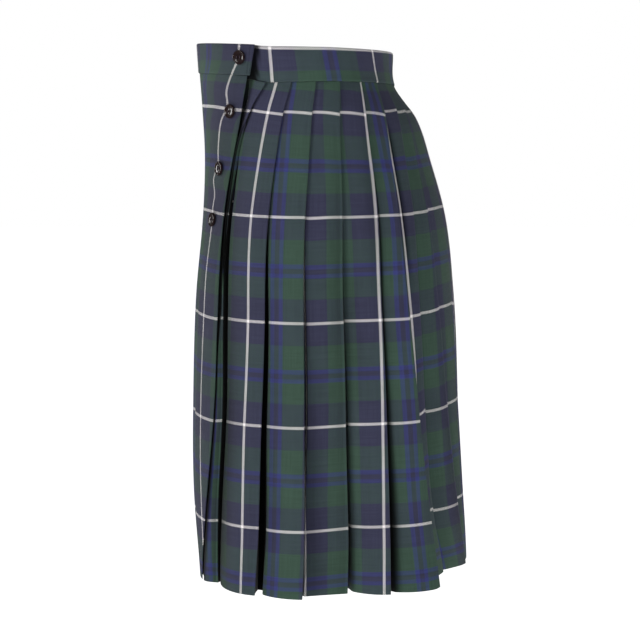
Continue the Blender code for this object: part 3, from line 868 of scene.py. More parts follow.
    def line(self) -> Line:
        """The whole length's line, with its places in the check.

        Across the cloth a point lies as far from its own fold's thread as it does along the line. What
        is left over between two folds is spread over the hidden stretch between them.

        Returns:
            The line, one row a height.
        """
        f = self.drape.folds
        s_parts, n_parts, droops, shades = [], [], [], []
        starts, tips = [], []
        count = 0
        for k in range(self.first, self.last + 1):
            s, n, share, shade = self.face(k)
            starts.append(count + self.under_columns - 1)
            tips.append(count + s.shape[1] + self.tip_columns // 2)
            runs = [(s, n), self.tip(k), self.back_run(k)]
            if k < self.last:
                runs.append(self.inner_turn(k))
            for run_s, run_n in runs:
                s_parts.append(run_s)
                n_parts.append(run_n)
                count += run_s.shape[1]
            rest = (len(s), count - sum(part.shape[1] for part in droops) - share.shape[1])
            droop = f.droop[k][:, None]
            droops += [droop * share**2, droop * np.ones(rest)]
            shades += [shade, f.dark[k] * self.turned_shade(rest[1]) * np.ones(rest)]
        s = np.concatenate(s_parts, axis=1)
        n = np.concatenate(n_parts, axis=1)
        weft = -np.concatenate(droops, axis=1) - self.lowered(f, s.shape[1], starts, tips)
        warp = self.warp_places(f, arc_length(s, n), starts, tips)
        return Line(s, n, warp, weft, np.concatenate(shades, axis=1))

    def turned_shade(self, columns: int) -> np.ndarray:
        """Share of the fold's shade from its tip's first column on: full once the cloth has turned back."""
        start, full = (self.tip_columns // 2 + past for past in self.turned_columns)
        return smooth_step(np.arange(columns)[None, :], start, full)

    def lowered(self, folds: Folds, columns: int, starts: list, tips: list) -> np.ndarray:
        """How much lower the check lies at each column, changing from pleat to pleat out of sight.

        Args:
            folds: the places of the folds.
            columns: columns of the line.
            starts: column where each face comes out from under a fold.
            tips: column of each outer fold.

        Returns:
            How much lower at every height and column.
        """
        anchors = np.array(starts + tips)
        pleats = np.array(list(range(self.first, self.last + 1)) * 2)
        order = np.argsort(anchors)
        rows = folds.weft[pleats[order]].T
        return np.stack([np.interp(np.arange(columns), anchors[order], row) for row in rows])

    def warp_places(self, folds: Folds, arc: np.ndarray, starts: list, tips: list) -> np.ndarray:
        """Place across the cloth for each column, from the folds' own places.

        Args:
            folds: the places of the folds.
            arc: distance along each row's line.
            starts: column where each face comes out from under a fold.
            tips: column of each outer fold.

        Returns:
            The places, in metres.
        """
        warp = np.zeros_like(arc)
        column = np.arange(arc.shape[1])[None, :]
        for i, (start, tip) in enumerate(zip(starts, tips)):
            own = folds.warp[self.first + i][:, None] + arc - arc[:, tip:tip + 1]
            if i == 0:
                warp = own
                continue
            before = tips[i - 1]
            passed = arc[:, before:before + 1]
            last = folds.warp[self.first + i - 1][:, None] + arc - passed
            share = np.clip((arc - passed) / (arc[:, start:start + 1] - passed), 0, 1)
            hidden = last + (own - last) * share
            warp = np.where(column <= before, warp, np.where(column < start, hidden, own))
        return warp

    def build(self, material: bpy.types.Material) -> bpy.types.Object:
        """Args:
            material: the wool.

        Returns:
            The new object.
        """
        piece = cloth_piece(self.name, self.drape, self.line(), material)
        return declare_cloth(piece, self.name)


def declare_cloth(piece: bpy.types.Object, node: str) -> bpy.types.Object:
    """Ride a cloth piece on the body, and hide the solid whose place it takes.

    Args:
        piece: the cloth.
        node: the solid whose place it takes.

    Returns:
        The same object.
    """
    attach(piece, BODY)
    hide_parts(node)
    return piece


@dataclass
class Aprons:
    """The flat front: the over apron outside, and the under apron with its strip that shows."""

    drape: Drape
    proud_at_edge: float = 1.0 * MM  # the over apron stands out this far at its free edge
    climb: float = 45.0 * MM  # it comes up out of the last pleat over this distance
    under_short: float = 4.0 * MM  # the under apron stops this far short of the edge's mirror place
    strip_start: float = 14.0 * MM  # its hidden front ends this far inside the over apron's edge
    sunk_start: float = 60.0 * MM  # and sinks into the gap beside the edge from this far inside it
    touch: float = 1.6 * MM  # the under apron comes out this far at the hem, up to the over one
    touch_place: float = 25.0 * MM  # this far in from the edge
    touch_width: float = 8.0 * MM
    strip_bulge: float = 3.0 * MM
    strip_curl_shade: float = 0.5  # painted shade: how much darker the strip is painted where it curls in at its fold
    columns: int = 110  # points across the over apron
    under_columns: int = 94  # across the hidden front of the under apron
    strip_columns: int = 21  # and across its strip that shows
    edge_columns: int = 4  # the last hidden ones have the strip's first shade
    hidden_step: int = 18  # inside the last pleat only one of so many of them
    hidden_columns: int = 6  # and this many in all
    hidden_end: float = 0.99  # up to this share of the way out
    weft_near: tuple = (85.0 * MM, 140.0 * MM)  # APRON_EDGE_WEFT sets in between these
    weft_far: tuple = (5.0 * MM, 55.0 * MM)  # APRON_FAR_WEFT ends between these
    shade_place: tuple = (40.0 * MM, 115.0 * MM)  # APRON_SHADE sets in between these
    over_cut: tuple = (0.32, CUT_LENGTH)  # flat sizes in metres
    under_cut: tuple = (0.34, CUT_LENGTH)
    line_mean: float = 115.0 * MM  # mean place of the white line under the buttons
    line_start: float = -130.0 * MM  # the threads are upright here, and go with the line this far on
    line_reach: float = 220.0 * MM
    # Broad soft waves: s, width and depth, all in millimetres.
    waves: tuple = ((-62.0, 44.0, -6.0), (14.0, 52.0, -4.5), (78.0, 24.0, -3.5))
    # The white line under the buttons: height, s, both in millimetres.
    white_line: tuple = (
        # z, s
        (-15, 127.5), (-35, 117.5), (-49, 119.0), (-62, 108.5), (-93, 103.0), (-108, 104.3),
        (-123, 95.0), (-140, 102.0), (-150, 99.8), (-163, 101.5), (-209, 104.6), (-263, 113.5),
        (-355, 118.5), (-407, 123.0), (-467, 129.5), (-546, 131.0),
    )

    def edge(self) -> np.ndarray:
        """s of the over apron's free edge at each height."""
        return self.drape.folds.along(APRON_EDGE)[:, None]

    def wave_depth(self, s: np.ndarray) -> np.ndarray:
        """Depth of the soft waves: a bell across for each, growing towards the hem.

        Args:
            s: places round the garment.

        Returns:
            What is added to n there.
        """
        depth = np.zeros_like(s)
        for place, width, deep in self.waves:
            depth += deep * MM * bell(s, place * MM, width * MM / 2)
        return depth * self.drape.opened

    def depth(self, s: np.ndarray) -> np.ndarray:
        """n of the over apron: out from under the last pleat, then along the hull, proud at its edge.

        Args:
            s: places round the garment.

        Returns:
            n there.
        """
        f = self.drape.folds
        start = f.outer[-1][:, None] - self.drape.hull.round[:, None]
        climbed = smooth_step(s, start, start + self.climb)
        proud = self.proud_at_edge * smooth_step(s, 0.0, self.edge())
        return f.low[-1][:, None] * (1 - climbed) + proud + self.wave_depth(s)

    def warp(self, s: np.ndarray) -> np.ndarray:
        """Place across the cloth: the distance from the white line, which is upright at the far side.

        Args:
            s: places round the garment.

        Returns:
            The places across the cloth.
        """
        rows = np.array(self.white_line, float) * MM
        line = soft_curve(self.drape.hull.heights, rows[:, 0], rows[:, 1])[:, None]
        share = np.clip((s - self.line_start) / self.line_reach, 0, 1)
        return s - self.line_mean - (line - self.line_mean) * share

    def build_over(self, material: bpy.types.Material) -> bpy.types.Object:
        """Make the over apron, from inside the last pleat to its free edge.

        Args:
            material: the wool.

        Returns:
            The new object.
        """
        f = self.drape.folds
        around = self.drape.hull.round[:, None]
        inside = f.inner[-1][:, None] - around + FOLD_TURN
        start = f.outer[-1][:, None] - around
        t = np.linspace(0, 1, self.columns)[None, :]
        under_t = t[:, ::self.hidden_step][:, :self.hidden_columns]
        under_s = inside + (start - inside) * under_t * self.hidden_end
        s = end_rims(np.concatenate([under_s, start + (self.edge() - start) * t], axis=1))
        hidden = np.clip((s - inside) / (start - inside), 0, 1)
        under_n = f.deep[-1][:, None] + hidden * (f.low[-1] - f.deep[-1])[:, None]
        n = np.where(s < start, under_n, self.depth(s))
        lowered = f.along(APRON_WEFT)[:, None]
        lowered = lowered + f.along(APRON_EDGE_WEFT)[:, None] * smooth_step(s, *self.weft_near)
        lowered = lowered - f.along(APRON_FAR_WEFT)[:, None] * (1 - smooth_step(s, *self.weft_far))
        shade = unlit(np.maximum(s - start, 0), f.reach[-1][:, None], f.dark[-1])
        soft = f.along(APRON_SHADE)[:, None] / MM * smooth_step(s, *self.shade_place)
        shade = np.maximum(shade, soft)
        line = Line(s, n, self.warp(s), 0 * s - lowered, shade)
        piece = cloth_piece("over_apron_cloth", self.drape, line, material, around)
        return declare_cloth(piece, "over_apron")

    def build_under(self, material: bpy.types.Material) -> bpy.types.Object:
        """Make the under apron: its free edge, across the front, the strip that shows, and fold 0.

        Args:
            material: the wool.

        Returns:
            The new object.
        """
        f = self.drape.folds
        edge, tip = self.edge(), f.outer[0][:, None]
        fold = PleatedLength("strip", 0, 0, self.drape)
        across_s, across_n = self.hidden_front()
        u = np.linspace(0, 1, self.strip_columns)[None, :-1]
        strip_s, strip_n = self.strip(u)
        runs = [(across_s, across_n), (strip_s, strip_n), fold.tip(0), fold.back_run(0)]
        s = np.concatenate([run[0] for run in runs], axis=1)
        n = np.concatenate([run[1] for run in runs], axis=1)
        arc = arc_length(s, n)
        fold_column = across_s.shape[1] + strip_s.shape[1] + fold.tip_columns // 2
        warp = f.warp[0][:, None] + arc - arc[:, fold_column:fold_column + 1]
        reach = f.along(EDGE_SHADE)[:, None]
        dark = f.along(EDGE_DARK)[:, None] / MM
        shade = np.zeros_like(s)
        first = across_s.shape[1]
        # painted shade on the strip, darker where it curls in towards fold 0
        curl_shade = self.strip_curl_shade * self.drape.opened * u**3
        shade[:, first:first + len(u[0])] = np.maximum(unlit(strip_s - edge, reach, dark), curl_shade)
        shade[:, first - self.edge_columns:first] = shade[:, first:first + 1]
        turned = s.shape[1] - first - len(u[0])
        at_tip = unlit(tip - edge, reach, dark)
        shade[:, -turned:] = np.maximum(f.dark[0] * fold.turned_shade(turned), at_tip)
        line = Line(s, n, warp, 0 * s - f.weft[0][:, None], shade)
        piece = cloth_piece("under_apron_cloth", self.drape, line, material)
        return declare_cloth(piece, "under_apron")

    def hidden_front(self) -> tuple[np.ndarray, np.ndarray]:
        """The under apron's line across the front, one pitch inside the over apron.

        Returns:
            s and n at every height, from its free edge to just inside the over apron's edge.
        """
        f = self.drape.folds
        edge = self.edge()
        t = np.linspace(0, 1, self.under_columns)[None, :]
        s = (self.under_short - edge) + (2 * edge - self.strip_start - self.under_short) * t
        gap = f.edge_gap[:, None]
        sunk = cavity(0 * gap, gap) * smooth_step(s, edge - self.sunk_start, edge - self.strip_start)
        n = self.depth(s) - f.under_pitch - sunk
        return s, n + self.touch * self.drape.opened * bell(s - edge, -self.touch_place, self.touch_width)

    def strip(self, u: np.ndarray) -> tuple[np.ndarray, np.ndarray]:
        """The strip that shows: out from the over apron's edge, round its bulge, to fold 0.

        Args:
            u: shares of the way across it.

        Returns:
            s and n there at every height.
        """
        f = self.drape.folds
        edge, tip = self.edge(), f.outer[0][:, None]
        close = self.depth(edge) - f.under_pitch
        rise = self.strip_bulge * self.drape.opened * np.sin(math.pi * u)
        s = edge + u * (tip - FOLD_TURN - edge)
        beside = cavity(s - edge, f.edge_gap[:, None]) * (1 - u**4)
        return s, close + (f.high[0][:, None] - close) * u**2 + rise - beside


@dataclass
class Waistband:
    """The folded band: inside across the front, round the back, and outside across to its free end."""

    wall: float = 2.6 * MM
    pitch: float = 3.3 * MM  # one layer of the band to the next, across the front
    proud: float = 1.3 * MM  # its outer side stands this far out from the hull
    apron_proud: float = 1.0 * MM  # and this much farther at the over apron's edge
    end_stand: float = 1.6 * MM  # the free end stands off the band under it
    stand_start: float = 30.0 * MM  # from this far before its end
    end_shade: tuple = (5.5 * MM, 9.0 * MM)  # its shade on the band under it ends between these
    end_dark: float = 0.97
    end_narrowed: float = 0.6  # and it is narrower by this share at the top edge
    end_faded: float = 0.12  # and lighter by this share
    press_line: float = 2.6 * MM  # a pressed line this far inside the free end
    press_width: float = 0.55 * MM
    press_depth: float = 0.45 * MM
    end_top: float = 158.0 * MM  # s of the free end at the top edge, from centre front
    end_seam: float = 151.0 * MM  # and at the seam
    join: tuple = (164.0 * MM, 196.0 * MM)  # the band comes out from the inner layer between these
    under_short: float = 4.0 * MM  # the inner end stops this far short of the free end's mirror place
    columns: int = 300  # points round the band
    rows: int = 12  # and up it
    row_margin: float = 3.5 * MM  # those rows keep this far from the long edges
    # Close rows just inside the long edges and close columns just inside the ends, in millimetres.
    edge_rows: tuple = (0.0, 0.25, 0.8, 1.8)
    end_columns: tuple = (0.25, 0.8, 1.6, 2.1, 2.6, 3.1, 3.7, 4.6)
    edge_round: float = 0.7  # the long edges round off within this share of the wall
    edge_least: float = 0.15  # down to this share of the wall
    front_shade: tuple = (60.0 * MM, 125.0 * MM)  # the over apron's soft shade sets in between these
    cut: tuple = (1.04, 0.0375)  # flat size in metres
    # White lines across the band: s at its top and at its seam in millimetres, and the line's number.
    # The last is the free end's, and its s is told from centre front.
    white_lines: tuple = ((172.5, 174.1, 0), (292.6, 302.0, 1), (140.3, 127.3, 7))
    weft_top: float = -1.6 * MM  # a white line's middle, from the top edge, on the pleated side
    weft_shift: float = -5.0 * MM  # how much lower the cloth lies at the free end
    weft_start: float = 0.2  # s in metres from which it changes
    early_lines: int = 3  # white lines before the first one above, out of sight

    def depth(self, hull: Hull, s: np.ndarray) -> np.ndarray:
        """n of the band's outer side: one thickness in at the front, and one out over it.

        Args:
            hull: the hull at the heights that are asked for.
            s: places round the garment.

        Returns:
            n there.
        """
        inside = 1 - smooth_step(s, self.join[0], self.join[1])
        over = smooth_step(s - hull.round[:, None], 0.0, APRON_EDGE[0] * MM)
        near_end = smooth_step(s - hull.round[:, None], self.end_seam - self.stand_start, self.end_seam)
        return self.proud - self.pitch * inside + self.apron_proud * over + self.end_stand * near_end

    def warp(self, hull: Hull, s: np.ndarray, rise: np.ndarray) -> np.ndarray:
        """Place across the cloth: straight runs between the white lines, which slant a little.

        The free end's line slants most near the seam: it goes with one less the square of what is left.

        Args:
            hull: the hull at the band's heights.
            s: distances round the band.
            rise: share of the band's height, 0 at the seam and 1 at the top edge.

        Returns:
            The places across the cloth.
        """
        tops, feet, numbers = np.array(self.white_lines, float).T
        places = (feet + (tops - feet) * rise) * MM
        places[:, -1:] = (feet[-1] + (tops[-1] - feet[-1]) * (1 - (1 - rise) ** 2)) * MM
        places[:, -1] += hull.round
        first = places[:, :1] - (places[:, 1:2] - places[:, :1]) * self.early_lines
        last = places[:, -1:] + WARP_REPEAT
        places = np.concatenate([first, places, last], axis=1)
        lines = np.concatenate([[numbers[0] - self.early_lines], numbers, [numbers[-1] + 1]]) * WARP_REPEAT
        return np.stack([np.interp(row, at, lines) for row, at in zip(s, places)])

    def build(self, material: bpy.types.Material) -> bpy.types.Object:
        """Make the band's cloth.

        Args:
            material: the wool.

        Returns:
            The new object.
        """
        edge_rows = np.array(self.edge_rows) * MM
        middle = np.linspace(BAND_TOP - self.row_margin, SEAM + self.row_margin, self.rows)
        heights = np.concatenate([BAND_TOP - edge_rows, middle, SEAM + edge_rows[::-1]])
        hull = Hull(heights)
        around = hull.round[:, None]
        rise = ((heights - SEAM) / (BAND_TOP - SEAM))[:, None]
        end = self.end_seam + (self.end_top - self.end_seam) * rise
        first, last = self.under_short - end, around + end
        s = first + (last - first) * np.linspace(0, 1, self.columns)[None, :]
        s = end_rims(s, tuple(step * MM for step in self.end_columns))
        pressed = self.press_depth * bell(last - s, self.press_line, self.press_width)
        n = self.depth(hull, s) - self.wall / 2 - pressed
        inwards = np.clip(1 - edge_rows / (self.wall * self.edge_round), 0, 1)
        rim = np.sqrt(1 - inwards**2) * (1 - self.edge_least) + self.edge_least
        shares = np.concatenate([rim, np.ones(self.rows), rim[::-1]])[:, None] * rim_profile(s.shape[1])
        weft = BAND_TOP + self.weft_top - heights[:, None] + 0 * s
        start = self.weft_start
        weft = weft - self.weft_shift * np.clip((s - start) / (around - start), 0, 1)
        cloth = (self.warp(hull, s, rise), weft, self.shade(s, around, end, rise))
        piece = shell("waistband_cloth", hull.bend(s, n), shares * self.wall, cloth, material)
        return declare_cloth(piece, "waistband")

    def shade(self, s: np.ndarray, around: np.ndarray, end: np.ndarray, rise: np.ndarray) -> np.ndarray:
        """Shade of the band: what its free end throws on the layer under it, and the over apron's own.

        Args:
            s: places round the band.
            around: length of the ring at each height.
            end: s of the free end, from centre front.
            rise: share of the band's height, 0 at the seam and 1 at the top edge.

        Returns:
            How dark it is at each place, from 0 to 1.
        """
        narrowed = (s - end) / (1 - self.end_narrowed * rise)
        thrown = self.end_dark * (1 - smooth_step(narrowed, *self.end_shade)) * (1 - self.end_faded * rise)
        return np.maximum(thrown, APRON_SHADE[0] * smooth_step(s - around, *self.front_shade))


@dataclass
class Buttons:
    """Four sewn-on buttons with a raised rim, a hollow face and four holes, held with dark thread."""

    radius: float = 7.5 * MM
    thick: float = 3.2 * MM
    rim: float = 1.5 * MM
    rim_round: float = 1.2 * MM  # its side is half an oval that bulges this far
    back_inset: float = 2.4 * MM  # the flat back ends this far inside the rim
    back_rise: float = 0.3 * MM  # and slants up this far to it
    dish: float = 0.9 * MM  # depth of the hollow face
    dish_side: tuple = (0.9, 1.6)  # its side's run at share b is (first + second b) b millimetres
    floor_reach: float = 0.45  # its floor is flat within this share of the radius inside the rim
    floor_depth: float = 1.12  # and this many times the dish's depth
    hole_radius: float = 0.85 * MM
    hole_spread: float = 1.75 * MM  # from the button's axis, both ways, to a hole's
    hole_sides: int = 20
    hole_soft: float = 0.12 * MM  # width of the rounding round each hole
    soft_angle: float = 40.0  # degrees; sharper edges are rounded
    sharp_angle: float = 60.0  # degrees; an edge stays sharp above this
    clear: float = 0.45 * MM  # between the button's back and the cloth
    sides: int = 64
    rim_points: int = 13
    dish_points: int = 9
    strand_shift: float = 0.28 * MM  # the two strands of a bar lie this far to either side of the holes
    strand_radius: float = 0.26 * MM
    strand_past: float = 0.2 * MM  # they reach this far past the holes
    strand_rise: float = 0.35 * MM  # their middle lies this far above the dish
    strand_fall: float = 1.3 * MM  # and their ends this far under that
    strand_rows: int = 15
    strand_sides: int = 10
    # s and height of each centre, in millimetres, top to bottom
    places: tuple = ((141.0, 2.3), (125.5, -53.0), (111.0, -111.5), (106.5, -165.0))

    def profile(self) -> np.ndarray:
        """Half outline from the back's edge round the rim into the dish.

        The dish's side falls with the share b of its run as 3b^2 - 2b^3.

        Returns:
            Rows of radius and height.
        """
        a = np.linspace(-0.5 * math.pi, 0.5 * math.pi, self.rim_points)
        half = (self.thick - self.back_rise) / 2
        shoulder = self.radius - self.rim_round
        side_height = half * (1 + np.sin(a)) + self.back_rise
        outside = np.stack([shoulder + self.rim_round * np.cos(a), side_height], 1)
        b = np.linspace(0, 1, self.dish_points)[1:]
        first, second = self.dish_side
        fall_radius = shoulder - (first + second * b) * b * MM
        fall = np.stack([fall_radius, self.thick - self.dish * (3 * b**2 - 2 * b**3)], 1)
        floor_radius = (self.radius - self.rim) * self.floor_reach
        floor = np.array([[floor_radius, self.thick - self.dish * self.floor_depth]])
        return np.concatenate([[[self.radius - self.back_inset, 0.0]], outside, fall, floor])

    def turned(self) -> tuple[np.ndarray, np.ndarray]:
        """The profile turned about its axis: points at radius cos a, radius sin a, height.

        Returns:
            The points, and the point numbers of each face.
        """
        line = self.profile()
        a = np.linspace(0, 2 * math.pi, self.sides, endpoint=False)
        points = np.stack([np.outer(line[:, 0], np.cos(a)), np.outer(line[:, 0], np.sin(a)),
                           np.outer(line[:, 1], np.ones(self.sides))], axis=2)
        ring = np.arange(self.sides)
        after = (ring + 1) % self.sides
        rows = np.arange(len(line) - 1)[:, None] * self.sides
        faces = np.stack([rows + ring, rows + after, rows + self.sides + after, rows + self.sides + ring], 2)
        return points.reshape(-1, 3), faces.reshape(-1, 4)

    def blank(self, material: bpy.types.Material) -> bpy.types.Mesh:
        """One button's mesh at the origin, its face towards +Z, with its four holes cut through.

        Args:
            material: the button's finish.

        Returns:
            The mesh.
        """
        points, faces = self.turned()
        count = len(points)
        caps = [list(range(self.sides))[::-1], list(range(count - self.sides, count))]
        mesh = bpy.data.meshes.new("button_blank")
        mesh.from_pydata(points.tolist(), [], faces.tolist() + caps)
        body = bpy.data.objects.new("button_blank", mesh)
        bpy.context.scene.collection.objects.link(body)
        drills = self.drills()
        cut = body.modifiers.new("holes", "BOOLEAN")
        cut.operation = "DIFFERENCE"
        cut.solver = "EXACT"
        cut.object = drills
        soften = body.modifiers.new("hole_edges", "BEVEL")
        soften.width = self.hole_soft
        soften.segments = 2
        soften.limit_method = "ANGLE"
        soften.angle_limit = math.radians(self.soft_angle)
        graph = bpy.context.evaluated_depsgraph_get()
        made = bpy.data.meshes.new_from_object(body.evaluated_get(graph))
        for item in (body, drills):
            bpy.data.objects.remove(item, do_unlink=True)
        made.materials.clear()
        made.materials.append(material)
        made.shade_smooth()
        made.set_sharp_from_angle(angle=math.radians(self.sharp_angle))
        return made

    def drills(self) -> bpy.types.Object:
        """Four round rods that stand where the holes are cut.

        Returns:
            One object with all four, taken away again once the holes are cut.
        """
        sides = self.hole_sides
        a = np.linspace(0, 2 * math.pi, sides, endpoint=False)
        flat = np.stack([np.cos(a), np.sin(a)], 1) * self.hole_radius
        points, faces = [], []
        for i, (x, y) in enumerate(((-1, -1), (-1, 1), (1, -1), (1, 1))):
            at = flat + np.array([x, y]) * self.hole_spread
            base = i * 2 * sides
            for z in (-self.thick, 2 * self.thick):
                points += np.column_stack([at, np.full(sides, z)]).tolist()
            j = np.arange(sides)
            k = (j + 1) % sides
            faces += (np.stack([j, k, k + sides, j + sides], 1) + base).tolist()
            faces += [(j[::-1] + base).tolist(), (j + sides + base).tolist()]
        mesh = bpy.data.meshes.new("drills")
        mesh.from_pydata(points, [], faces)
        made = bpy.data.objects.new("drills", mesh)
        bpy.context.scene.collection.objects.link(made)
        return made

    def seat(self, aprons: Aprons, band: Waistband, s: float, z: float) -> tuple[np.ndarray, np.ndarray]:
        """Turning rows (side, up, out) and centre of a button lying square on the cloth.

        Args:
            aprons: what carries the lower buttons.
            band: what carries the top one.
            s: the button's place round the garment, from centre front.
            z: its height.

        Returns:
            The turning, one row an axis, and the middle of the button's back.
        """
        hull = Hull(np.array([z + self.radius, z, z - self.radius]))
        rows = s + hull.round[:, None]
        flat = hull.bend(rows, 0 * rows)
        up = flat[0, 0] - flat[2, 0]
        up /= np.linalg.norm(up)
        out = hull.bend(rows, 0 * rows + MM)[1, 0] - flat[1, 0]
        out[2] = 0.0
        out -= up * out.dot(up)
        out /= np.linalg.norm(out)
        if z > SEAM:
            carrier = band.depth(hull, rows)[1, 0]
        else:
            deep = aprons.depth(np.full((len(aprons.drape.z), 1), s))[:, 0]
            carrier = float(np.interp(-z, -aprons.drape.hull.heights, deep))
        centre = hull.bend(rows, np.full((3, 1), carrier + self.clear))[1, 0]
        return np.stack([np.cross(up, out), up, out]), centre

    def build(
        self, aprons: Aprons, band: Waistband, plastic: bpy.types.Material, thread: bpy.types.Material
    ) -> list[bpy.types.Object]:
        """Make the four buttons, each with its threads.

        Args:
            aprons: what carries the lower buttons.
            band: what carries the top one.
            plastic: the buttons' finish.
            thread: the threads' finish.

        Returns:
            The new objects, each button followed by its threads.
        """
        blank = self.blank(plastic)
        local = np.zeros(len(blank.vertices) * 3)
        blank.vertices.foreach_get("co", local)
        local = local.reshape(-1, 3)
        made = []
        for i, (s, z) in enumerate(self.places):
            turning, centre = self.seat(aprons, band, s * MM, z * MM)
            mesh = blank.copy()
            mesh.name = f"button_{i + 1}_turned"
            mesh.vertices.foreach_set("co", (local @ turning + centre).astype(np.float32).ravel())
            piece = bpy.data.objects.new(mesh.name, mesh)
            bpy.context.scene.collection.objects.link(piece)
            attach(piece, BODY)
            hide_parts(f"button_{i + 1}")
            made.append(piece)
            made.append(self.threads(i, turning, centre, thread))
        return made

    def threads(
        self, i: int, turning: np.ndarray, centre: np.ndarray, thread: bpy.types.Material
    ) -> bpy.types.Object:
        """Two bars of thread between the holes: an arch whose height falls as the sixth power of its way.

        Args:
            i: the button's place in the row, from 0.
            turning: its own axes, one a row.
            centre: where the middle of its back is.
            thread: the thread's finish.

        Returns:
            The new object.
        """
        count, sides = self.strand_rows, self.strand_sides
        t = np.linspace(-1, 1, count)
        a = np.linspace(0, 2 * math.pi, sides, endpoint=False)
        points, faces = [], []
        shifts = (-self.strand_shift, self.strand_shift)
        strands = [side * self.hole_spread + shift for side in (-1, 1) for shift in shifts]
        reach = self.hole_spread + self.strand_past
        height = self.thick - self.dish + self.strand_rise - self.strand_fall * t**6
        for j, x in enumerate(strands):
            aside = x + self.strand_radius * np.outer(np.ones(count), np.cos(a))
            above = height[:, None] + self.strand_radius * np.outer(np.ones(count), np.sin(a))
            ring = np.stack([aside, np.outer(reach * t, np.ones(sides)), above], axis=2)
            grid = np.arange(count * sides).reshape(count, sides) + j * count * sides
            after = np.roll(grid, -1, axis=1)
            faces += np.stack([grid[:-1], grid[1:], after[1:], after[:-1]], axis=2).reshape(-1, 4).tolist()
            faces += [grid[0].tolist(), grid[-1][::-1].tolist()]
            points.append(ring.reshape(-1, 3))
        placed = np.concatenate(points) @ turning + centre
        mesh = bpy.data.meshes.new(f"button_{i + 1}_threads")
        mesh.from_pydata(placed.tolist(), [], faces)
        mesh.shade_smooth()
        mesh.materials.append(thread)
        piece = bpy.data.objects.new(mesh.name, mesh)
        bpy.context.scene.collection.objects.link(piece)
        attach(piece, BODY)
        return piece


class Graph:
    """A small hand for wiring shader nodes."""

    def __init__(self, tree: bpy.types.NodeTree) -> None:
        """Keep the tree that the nodes go into."""
        self.tree = tree

    def node(self, kind: str, **settings: object) -> bpy.types.Node:
        """Add a node and set its properties.

        Args:
            kind: the node's type.
            settings: its properties.

        Returns:
            The node.
        """
        made = self.tree.nodes.new(kind)
        for name, value in settings.items():
            setattr(made, name, value)
        return made

    def link(self, start: bpy.types.NodeSocket, end: bpy.types.NodeSocket) -> None:
        """Join two sockets."""
        self.tree.links.new(start, end)

    def math(self, operation: str, *values: object) -> bpy.types.NodeSocket:
        """A Math node on sockets or numbers, and its result.

        Args:
            operation: what the node does.
            values: what goes into its inputs, in order.

        Returns:
            The socket with the result.
        """
        made = self.node("ShaderNodeMath", operation=operation)
        for socket, value in zip(made.inputs, values):
            if isinstance(value, bpy.types.NodeSocket):
                self.link(value, socket)
            else:
                socket.default_value = value
        return made.outputs[0]

    def mix(self, share: object, first: object, second: object, blend: str = "MIX") -> bpy.types.NodeSocket:
        """A colour Mix node, and its result.

        Args:
            share: how much of the second colour.
            first: one colour.
            second: the other colour.
            blend: how they are put together.

        Returns:
            The socket with the result.
        """
        made = self.node("ShaderNodeMix", data_type="RGBA", blend_type=blend)
        for name, value in ((0, share), (6, first), (7, second)):
            if isinstance(value, bpy.types.NodeSocket):
                self.link(value, made.inputs[name])
            else:
                made.inputs[name].default_value = value
        return made.outputs[2]

    def steps(self, place: bpy.types.NodeSocket, stops: list[tuple[float, tuple]]) -> bpy.types.NodeSocket:
        """A colour ramp with hard steps; each stop gives where its colour starts.

        Args:
            place: the socket that is looked up.
            stops: (place, colour) of each step, rising.

        Returns:
            The socket with the colour.
        """
        made = self.node("ShaderNodeValToRGB")
        ramp = made.color_ramp
        ramp.interpolation = "CONSTANT"
        while len(ramp.elements) < len(stops):
            ramp.elements.new(1.0)
        for element, (position, colour) in zip(ramp.elements, stops):
            element.position = position
            element.color = colour
        self.link(place, made.inputs["Fac"])
        return made.outputs["Color"]


def new_finish(name: str, values: dict[str, object]) -> tuple[bpy.types.Material, Graph, bpy.types.Node]:
    """Start a material, and set plain values of its shader.

    Args:
        name: the material's name.
        values: each value by the name of its input.

    Returns:
        The material, the hand that wires it, and its shader.
    """
    made = bpy.data.materials.new(name)
    made.use_nodes = True
    shader = made.node_tree.nodes["Principled BSDF"]
    for socket, value in values.items():
        shader.inputs[socket].default_value = value
    return made, Graph(made.node_tree), shader


def new_group(name: str, inputs: tuple, outputs: tuple) -> tuple[bpy.types.NodeTree, dict, dict]:
    """A shader node group with named sockets.

    Args:
        name: the group's name.
        inputs: (name, socket type, default) of each input.
        outputs: (name, socket type) of each output.

    Returns:
        The group, its inputs' sockets by name and its outputs' sockets by name.
    """
    tree = bpy.data.node_groups.new(name, "ShaderNodeTree")
    for label, kind, value in inputs:
        socket = tree.interface.new_socket(name=label, in_out="INPUT", socket_type=kind)
        if value is not None:
            socket.default_value = value
    for label, kind in outputs:
        tree.interface.new_socket(name=label, in_out="OUTPUT", socket_type=kind)
    start = tree.nodes.new("NodeGroupInput")
    end = tree.nodes.new("NodeGroupOutput")
    return tree, {s.name: s for s in start.outputs}, {s.name: s for s in end.inputs}


# The twill: yarns to one diagonal, and the share of them where the yarn that runs down is on top.
TWILL_YARNS = 4
WARP_SHARE = 0.45
WEFT_TONES = 0.37  # the yarns that run across take other random tones, from numbers this much higher
SLUB_SCALES = (0.3, 0.012)  # slubs' noise across a yarn and along it, in waves a yarn's width
SLUB_DETAIL = 2.0
# The nap's fine noise and the tone's broad one: waves a metre, and how many finer waves are added.
NAP_NOISE = (2600.0, 3.0)
TONE_NOISE = (26.0, 4.0)


